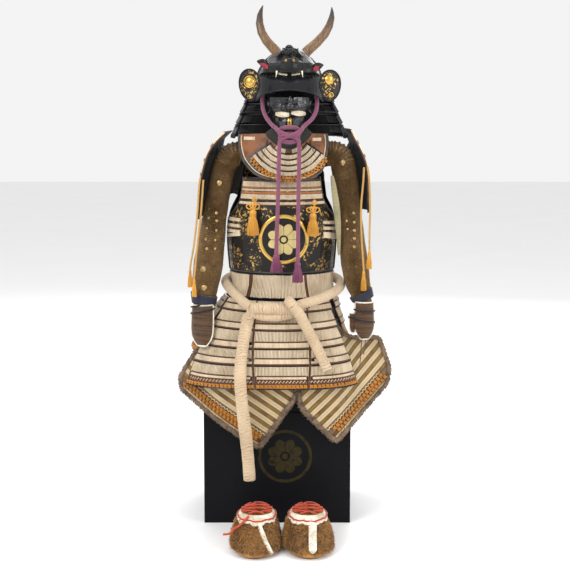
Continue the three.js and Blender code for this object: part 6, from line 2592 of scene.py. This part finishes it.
@dataclass
class Cords:
    """The chin cord with its knot and tassels, and the cords at the shoulders."""

    radius: float = 0.006
    thin: float = 0.003

    def build(self, make: Dresser) -> None:
        """Makes all free cords."""
        paint = make.paint
        for name, route in (("chin_cord_left", CHEEK_LEFT), ("chin_cord_right", CHEEK_RIGHT)):
            FreeCord(name + "_braid", route, HELMET, self.radius, "knot", name).build(paint.rose_braid,
                                                                                      "chin_silk")
        self.knot(make)
        for side, route, length, radius in (("left", END_LEFT, 0.055, 0.020),
                                            ("right", END_RIGHT, 0.064, 0.018)):
            top = mm([route[-1]], HELMET)[0] + Vector((0, 0, 0.001))
            tassel = Tassel(f"chin_tassel_{side}_silk", tuple(top), length, radius, f"chin_tassel_{side}",
                            110)
            silk = tassel.build(make.repeats, paint.rose, "chin_silk")
            FreeCord(f"chin_end_{side}_braid", route, HELMET, self.radius, "fitting",
                     f"chin_end_{side}").build(
                paint.rose_braid, "chin_silk", [silk])
        for number, (name, route, length, radius) in enumerate(SHOULDER_ROUTES):
            top = mm([route[-1]], BODY)[0] + Vector((0, 0, 0.0005))
            node = name.replace("cord", "tassel")
            tassel = Tassel(node + "_silk", tuple(top), length / 1000, radius / 1000, node, 40, number)
            silk = tassel.build(make.repeats, paint.gold, "gold_silk")
            FreeCord(name + "_braid", route, BODY, self.thin, "fitting", name).build(paint.gold_braid,
                                                                                     "gold_silk", [silk])
        self.chest(make)

    def knot(self, make: Dresser) -> None:
        """Ties the knot below the chin: two crossed loops."""
        x, y = HELMET.x, HELMET.y - 0.163
        paths = []
        for (cx, cz, half, rise, lean, phase) in ((0.0, 1.1985, 0.031, 0.0135, 0.0, 0.0),
                                                  (-0.001, 1.1800, 0.027, 0.0125, 0.0, math.pi)):
            loop = []
            for k in range(41):
                turn = math.tau * k / 40
                loop.append(Vector((x + cx + half * math.cos(turn), y + 0.0052 * math.sin(turn * 3 + phase),
                                    cz + rise * math.sin(turn) + lean)))
            paths.append(loop)
        for side in (-1, 1):
            paths.append(curve_points([
                Vector((x + side * 0.040, HELMET.y - 0.150, 1.2100)),
                Vector((x + side * 0.034, y - 0.004, 1.2020)),
                Vector((x + side * 0.012, y - 0.0085, 1.1905)),
                Vector((x - side * 0.012, y - 0.004, 1.1830)),
                Vector((x - side * 0.026, y - 0.004, 1.1740)),
                Vector((x - side * 0.029, y - 0.004, 1.1630)),
            ], 0.004))
        parts = [link(tube_mesh("knot", path, 0.0062, 10), "knot_part") for path in paths]
        knot = smooth(join("chin_knot_braid", parts), 70)
        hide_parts("chin_knot")
        settle(knot, make.paint.rose_braid, "chin_silk")

    @staticmethod
    def chest(make: Dresser) -> None:
        """Hangs the two chest tassels in their bows."""
        for side, x, y, top, length in (("left", -86, -155, 966, 78), ("right", 94, -153, 956, 70)):
            at = Vector((x, y, top)) / 1000 + BODY
            node = f"chest_tassel_{side}"
            piece = Tassel(node + "_silk", tuple(at), length / 1000, 0.0205, node, 130, 5)
            silk = piece.build(make.repeats, make.paint.gold, "gold_silk")
            paths = []
            for way in (-1, 1):
                for size, lean in ((0.0095, 0.25), (0.0065, 1.0)):
                    loop = []
                    for k in range(21):
                        turn = math.tau * k / 20
                        out = size * (1 - math.cos(turn)) / 2 * 2.1
                        over = size * 0.75 * math.sin(turn)
                        loop.append(at + Vector((way * (out * math.cos(lean) - over * math.sin(lean)),
                                                 0.004,
                                                 0.006 + out * math.sin(lean) + over * math.cos(lean))))
                    paths.append(loop)
            stem = [at + Vector((0, 0.004, 0)), at + Vector((0.001, 0.005, 0.012)), at
                    + Vector((0.004, 0.008, 0.026)),
                    at + Vector((0.005, 0.011, 0.040))]
            paths.append(curve_points(stem, 0.004))
            paths.append([at + Vector((0.0045 + 0.006 * math.cos(math.tau * k / 14), 0.0105,
                                       0.030 + 0.006 * math.sin(math.tau * k / 14))) for k in range(15)])
            paths.append([at + Vector((0.0065 * math.cos(math.tau * k / 14), 0.002 + 0.004
                                       * math.sin(math.tau * k / 14),
                                       0.003 + 0.003 * math.sin(math.tau * k / 7))) for k in range(15)])
            make.tubes(node + "_bow", paths, 0.0019, make.paint.gold, "gold_silk", 8)
            LOG.info("%s hangs at %.3f", silk.name, at.z)


# ---------------------------------------------------------------- belt, box, stand and shoes

BELT_WRAP = ((-60, -186, 655), (-88, -176, 669), (-120, -148, 690), (-150, -106, 711), (-168, -56, 724),
             (-174, 0, 730), (-161, 60, 733), (-122, 108, 735), (-62, 129, 736), (0, 134, 736),
             (62, 129, 736),
             (122, 108, 735), (164, 62, 732), (180, 8, 728), (181, -48, 722), (168, -98, 714),
             (134, -140, 702),
             (98, -164, 692), (60, -182, 684), (36, -192, 674))
BELT_ROLL = ((-92, -199, 672), (-60, -203, 676), (-10, -204, 674), (40, -200, 668))
BELT_UNDER = ((-104, -184, 664), (-60, -191, 652), (-10, -194, 650), (34, -194, 660))
BELT_LEFT = ((-97, -191, 655), (-102, -184, 636), (-112, -208, 588), (-121, -240, 524), (-123, -258, 478),
             (-121, -269, 436), (-115, -271, 370), (-106, -269, 294), (-99, -267, 214), (-96, -266, 163))
BELT_RIGHT = ((16, -206, 704), (30, -222, 690), (50, -226, 664), (66, -216, 634), (86, -211, 596),
              (110, -222, 550), (130, -234, 508), (137, -238, 492))


@dataclass
class Belt:
    """The thick belt of wound cotton, its knot and its two hanging ends."""

    radius: float = 0.0148

    @staticmethod
    def swell(seed: int, radius: float, blunt: Pair) -> Callable[[float], float]:
        """Returns a radius that swells and narrows a little along the roll.

        Args:
            seed: The seed of the swellings.
            radius: Its middle radius.
            blunt: The radius shares at its start and end.

        Returns:
            The radius at a share of the length.
        """
        chance = random.Random(seed)
        parts = [(chance.uniform(5, 9), chance.uniform(0, 6)),
                 (chance.uniform(14, 22), chance.uniform(0, 6)),
                 (chance.uniform(60, 80), chance.uniform(0, 6))]

        def size(share: float) -> float:
            """Returns the radius at the share."""
            wave = sum(math.sin(f * share + p) * w for (f, p), w in zip(parts, (0.03, 0.025, 0.014)))
            ends = min(1.0, blunt[0] + share * 22, blunt[1] + (1 - share) * 40)
            return radius * (1 + wave) * ends

        return size

    def build(self, make: Dresser) -> None:
        """Makes the belt."""
        finish, slot = make.paint.wound, "belt_cotton"
        wrap = link(tube_mesh("belt_wrap_cotton", curve_points(mm(BELT_WRAP, BODY), 0.005),
                              self.swell(1, self.radius, (0.7, 0.7)), 20, 1.0, Vector((0, 0, 1))),
                              "belt_wrap_cotton")
        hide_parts("belt_wrap")
        settle(smooth(wrap, 80), finish, slot)
        parts = [link(tube_mesh("belt_knot", curve_points(mm(route, BODY), 0.004),
                                self.swell(seed, radius, (0.45, 0.45)),
                                20), "belt_knot_part")
                 for seed, (route, radius) in enumerate(((BELT_ROLL, 0.0175), (BELT_UNDER, 0.0155)))]
        knot = join("belt_knot_cotton", parts)
        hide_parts("belt_knot")
        settle(smooth(knot, 80), finish, slot)
        for name, route, radius in (("belt_end_left", BELT_LEFT, 0.0182),
                                    ("belt_end_right", BELT_RIGHT, 0.0162)):
            points = curve_points(mm(route, BODY), 0.005)
            mesh = tube_mesh(name + "_cotton", points, self.swell(len(route), radius, (0.6, 0.82)), 20,
                             0.78)
            end = smooth(link(mesh, name + "_cotton"), 80)
            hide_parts(name)
            settle(end, finish, slot)
            length = line_length(points)
            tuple(points[0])
            LOG.info("%s: %.3f m long", name, length)


@dataclass
class Box:
    """The storage box and the stand: their lacquer and the nails at the corners."""

    half: Pair = (0.224, 0.180)

    def build(self, make: Dresser) -> None:
        """Dresses the box."""
        dress(["storage_box_body", "storage_box_lid"], make.paint.box)
        dress(["stand"], make.paint.stand)
        studs = []
        hx, hy = self.half
        for x in (-1, 1):
            for y in (-1, 1):
                for z in (0.03, 0.11, 0.2, 0.29, 0.335):
                    studs.append(Spot(Vector((x * (hx - 0.012), y * hy * 0.999, z)), Vector((0, y, 0)),
                                      Vector((1, 0, 0))))
        make.repeats.put("box_nails", studs, dome_mesh(0.0022, 0.0008, 8), make.paint.stand, "stand_wood")


@dataclass
class Shoe:
    """One fur shoe: fur, a white hide rim, red lacing and a pale strip down its front."""

    name: str
    middle: Pair
    turn: float
    strip: tuple[Pair, Pair, float]

    def build(self, make: Dresser, seed: int) -> None:
        """Makes the shoe."""
        piece = soft_copy(self.name, self.name + "_hide", lambda at: (at.x + at.y, at.z), levels=1)
        settle(piece, make.paint.fur, "fur")
        skin = Skin(piece)
        mx, my = self.middle
        rows = []
        for r in range(25):
            z = lerp(0.0145, 0.083, r / 24)
            row = []
            for k in range(56):
                turn = math.tau * k / 56
                hit = skin.cast(Vector((mx, my + 0.03, z)) + Vector((math.sin(turn), -math.cos(turn), 0))
                                * 0.6,
                                Vector((-math.sin(turn), math.cos(turn), 0)), 0.0003)
                row.append(hit[0] if hit else Vector((mx, my, z)))
            rows.append(row)
        coat = link(grid_mesh(self.name + "_coat", rows, closed=True), self.name + "_coat")
        middle = Vector((mx, my + 0.03, 0.05))
        face_away(coat, middle)
        make.repeats.fur(self.name + "_fur", coat, make.paint.fur, "fur", 0.011, 115000,
                         lambda p: Vector((0, -0.3, -min(1.0, max(0.0, (p.z - 0.006) / 0.02)))), seed)
        self.trim(make, skin)

    def trim(self, make: Dresser, skin: Skin) -> None:
        """Adds the hide collar, the red lacing over the opening and the pale strip."""
        back = Vector((self.middle[0], self.middle[1] + 0.044, 0))
        rows = []
        for r in range(5):
            row = []
            for k in range(64):
                turn = math.tau * k / 64
                out = turned_from_front(turn)
                ragged = 0.0022 * math.sin(turn * 9 + self.turn) + 0.0016 * math.sin(turn * 23)
                z = lerp(0.086 - 0.008 * max(math.cos(turn), 0) + ragged, 0.1005, r / 4)
                hit = skin.cast(back + Vector((0, 0, z)) + out * 0.6, -out, 0.0012 + 0.0035 * (1 - r / 4))
                row.append(hit[0])
            rows.append(row)
        collar = link(grid_mesh(self.name + "_collar", rows, closed=True), self.name + "_collar")
        face_away(collar, back)
        settle(smooth(solidify(collar, 0.0028), 60), make.paint.hide, "fur")
        rim = [p + Vector((0, 0, 0.0045)) for p in rows[-1]]
        laces = []
        for k in range(4):
            for way in (-1, 1):
                a, b = rim[way * (4 + 7 * k) % 64], rim[-way * (9 + 7 * k) % 64]
                laces.append([a, a.lerp(b, 0.3) + Vector((0, 0, 0.004)), a.lerp(b, 0.5)
                              + Vector((0, 0, 0.002 + way * 0.0028)),
                              a.lerp(b, 0.7) + Vector((0, 0, 0.004)), b])
        ring = [p + (Vector((p.x, p.y, 0)) - back).normalized() * 0.0055 for p in rows[2]]
        laces.append(ring + ring[:1])
        make.cords(self.name + "_red_lacing", laces, 0.0027, make.paint.red_braid, "fur", 6)
        (x0, z0), (x1, z1), wide = self.strip
        line = [skin.front(lerp(x0, x1, k / 16), lerp(z0, z1, k / 16), 0.0065) for k in range(17)]
        path = struck(line)
        mesh = tube_mesh(self.name + "_strip", path, lambda share: wide * min(1.0, (1.02 - share) * 9), 10,
                         0.16)
        settle(smooth(link(mesh, self.name + "_strip"), 60), make.paint.hide, "fur")


def loose_end(make: Dresser) -> None:
    """Leads the left shoe's cord down its side to a free end."""
    skin = Skin("shoe_left")
    hits = [skin.front(x, z, lift) for x, z,
            lift in ((-0.078, 0.098, 0.007), (-0.088, 0.084, 0.012), (-0.100, 0.070, 0.014),
                                                      (-0.113, 0.060, 0.014))]
    route = [tuple(hit[0] * 1000) for hit in hits]
    last = route[-1]
    route += [(last[0] - 14, last[1] - 3, 56), (last[0] - 33, last[1] - 6, 54)]
    FreeCord("shoe_cord_end", route, Vector((0, 0, 0)), 0.0034, "knot", stiffness="medium").build(
        make.paint.red_braid, "fur")


SLEEVE_LEFT: tuple[Ring, ...] = (
    (-119, -20, 1122, 35, 44), (-136, -20, 1126, 36, 46), (-156, -20, 1119, 37, 48),
    (-173, -21, 1096, 36, 49),
    (-185, -23, 1050, 35, 49), (-198, -28, 985, 35, 49), (-206, -34, 935, 35, 49), (-216, -42, 862, 40, 50),
    (-226, -50, 790, 44, 48), (-233, -56, 738, 41, 44), (-239, -66, 692, 34, 34), (-240, -76, 670, 30, 24),
    (-241, -82, 652, 29, 18))
SLEEVE_RIGHT: tuple[Ring, ...] = (
    (135, -20, 1126, 36, 44), (152, -20, 1127, 37, 46), (171, -20, 1122, 38, 48), (188, -21, 1099, 38, 49),
    (196, -23, 1052, 38, 49), (203, -28, 985, 37, 49), (208, -34, 935, 37, 49), (216, -42, 862, 38, 50),
    (225, -50, 790, 41, 48), (233, -56, 738, 38, 44), (243, -64, 704, 31, 33), (251, -74, 684, 24.5, 22),
    (253, -81, 664, 23, 17))
PLATES_LEFT = tuple((x, z) for x, z in (
    (-0.208, 0.961), (-0.185, 0.949), (-0.163, 0.937), (-0.208, 0.934), (-0.184, 0.925), (-0.213, 0.902),
    (-0.185, 0.896), (-0.166, 0.893), (-0.216, 0.870), (-0.188, 0.867), (-0.214, 0.841), (-0.189, 0.841)))
PLATES_RIGHT = tuple((x, z) for x, z in (
    (0.233, 0.949), (0.234, 0.921), (0.235, 0.896), (0.235, 0.872), (0.235, 0.847), (0.212, 0.925),
    (0.215, 0.900)))


class Set(Enum):
    """The sleeves' own tables: side, rings, small plates, large plates and the band's heights."""

    LEFT = ("sleeve_left", -1, SLEEVE_LEFT, PLATES_LEFT,
            ((-0.225, 0.779), (-0.176, 1.040), (-0.223, 0.722)), (0.667, 0.696))
    RIGHT = ("sleeve_right", 1, SLEEVE_RIGHT, PLATES_RIGHT, ((0.200, 1.101),), (0.680, 0.7))


def main() -> None:
    """Builds the studio and then every sub-assembly in order."""
    logging.basicConfig(level=logging.INFO, format="%(message)s")
    Studio().build()
    make = Dresser(Paint(), Repeats())
    Cords().build(make)
    Skirt().build(make)
    Waist().build(make)
    Cuirass().build(make)
    ThroatGuard().build(make)
    ThighGuards().build(make)
    for table in Set:
        Sleeve(*table.value).build(make)
    lining = soft_copy("sleeve_lining_right", "sleeve_lining_cloth", lambda at: (at.x, at.z), levels=2)
    settle(lining, make.paint.cloth, "lining_cloth")
    ShadeCloths().build(make)
    HandGuards().build(make)
    ShoulderGuards().build(make)
    Helmet().build(make)
    BeastHead().build(make)
    Horns().build(make)
    Mask().build(make)
    Belt().build(make)
    Box().build(make)
    Shoe("shoe_left", (-0.060, -0.418), -2, ((-0.053, 0.082), (-0.018, 0.010), 0.0068)).build(make, 11)
    Shoe("shoe_right", (0.092, -0.418), 3, ((0.103, 0.084), (0.102, 0.018), 0.0115)).build(make, 12)
    loose_end(make)


if __name__ == "__main__":
    main()
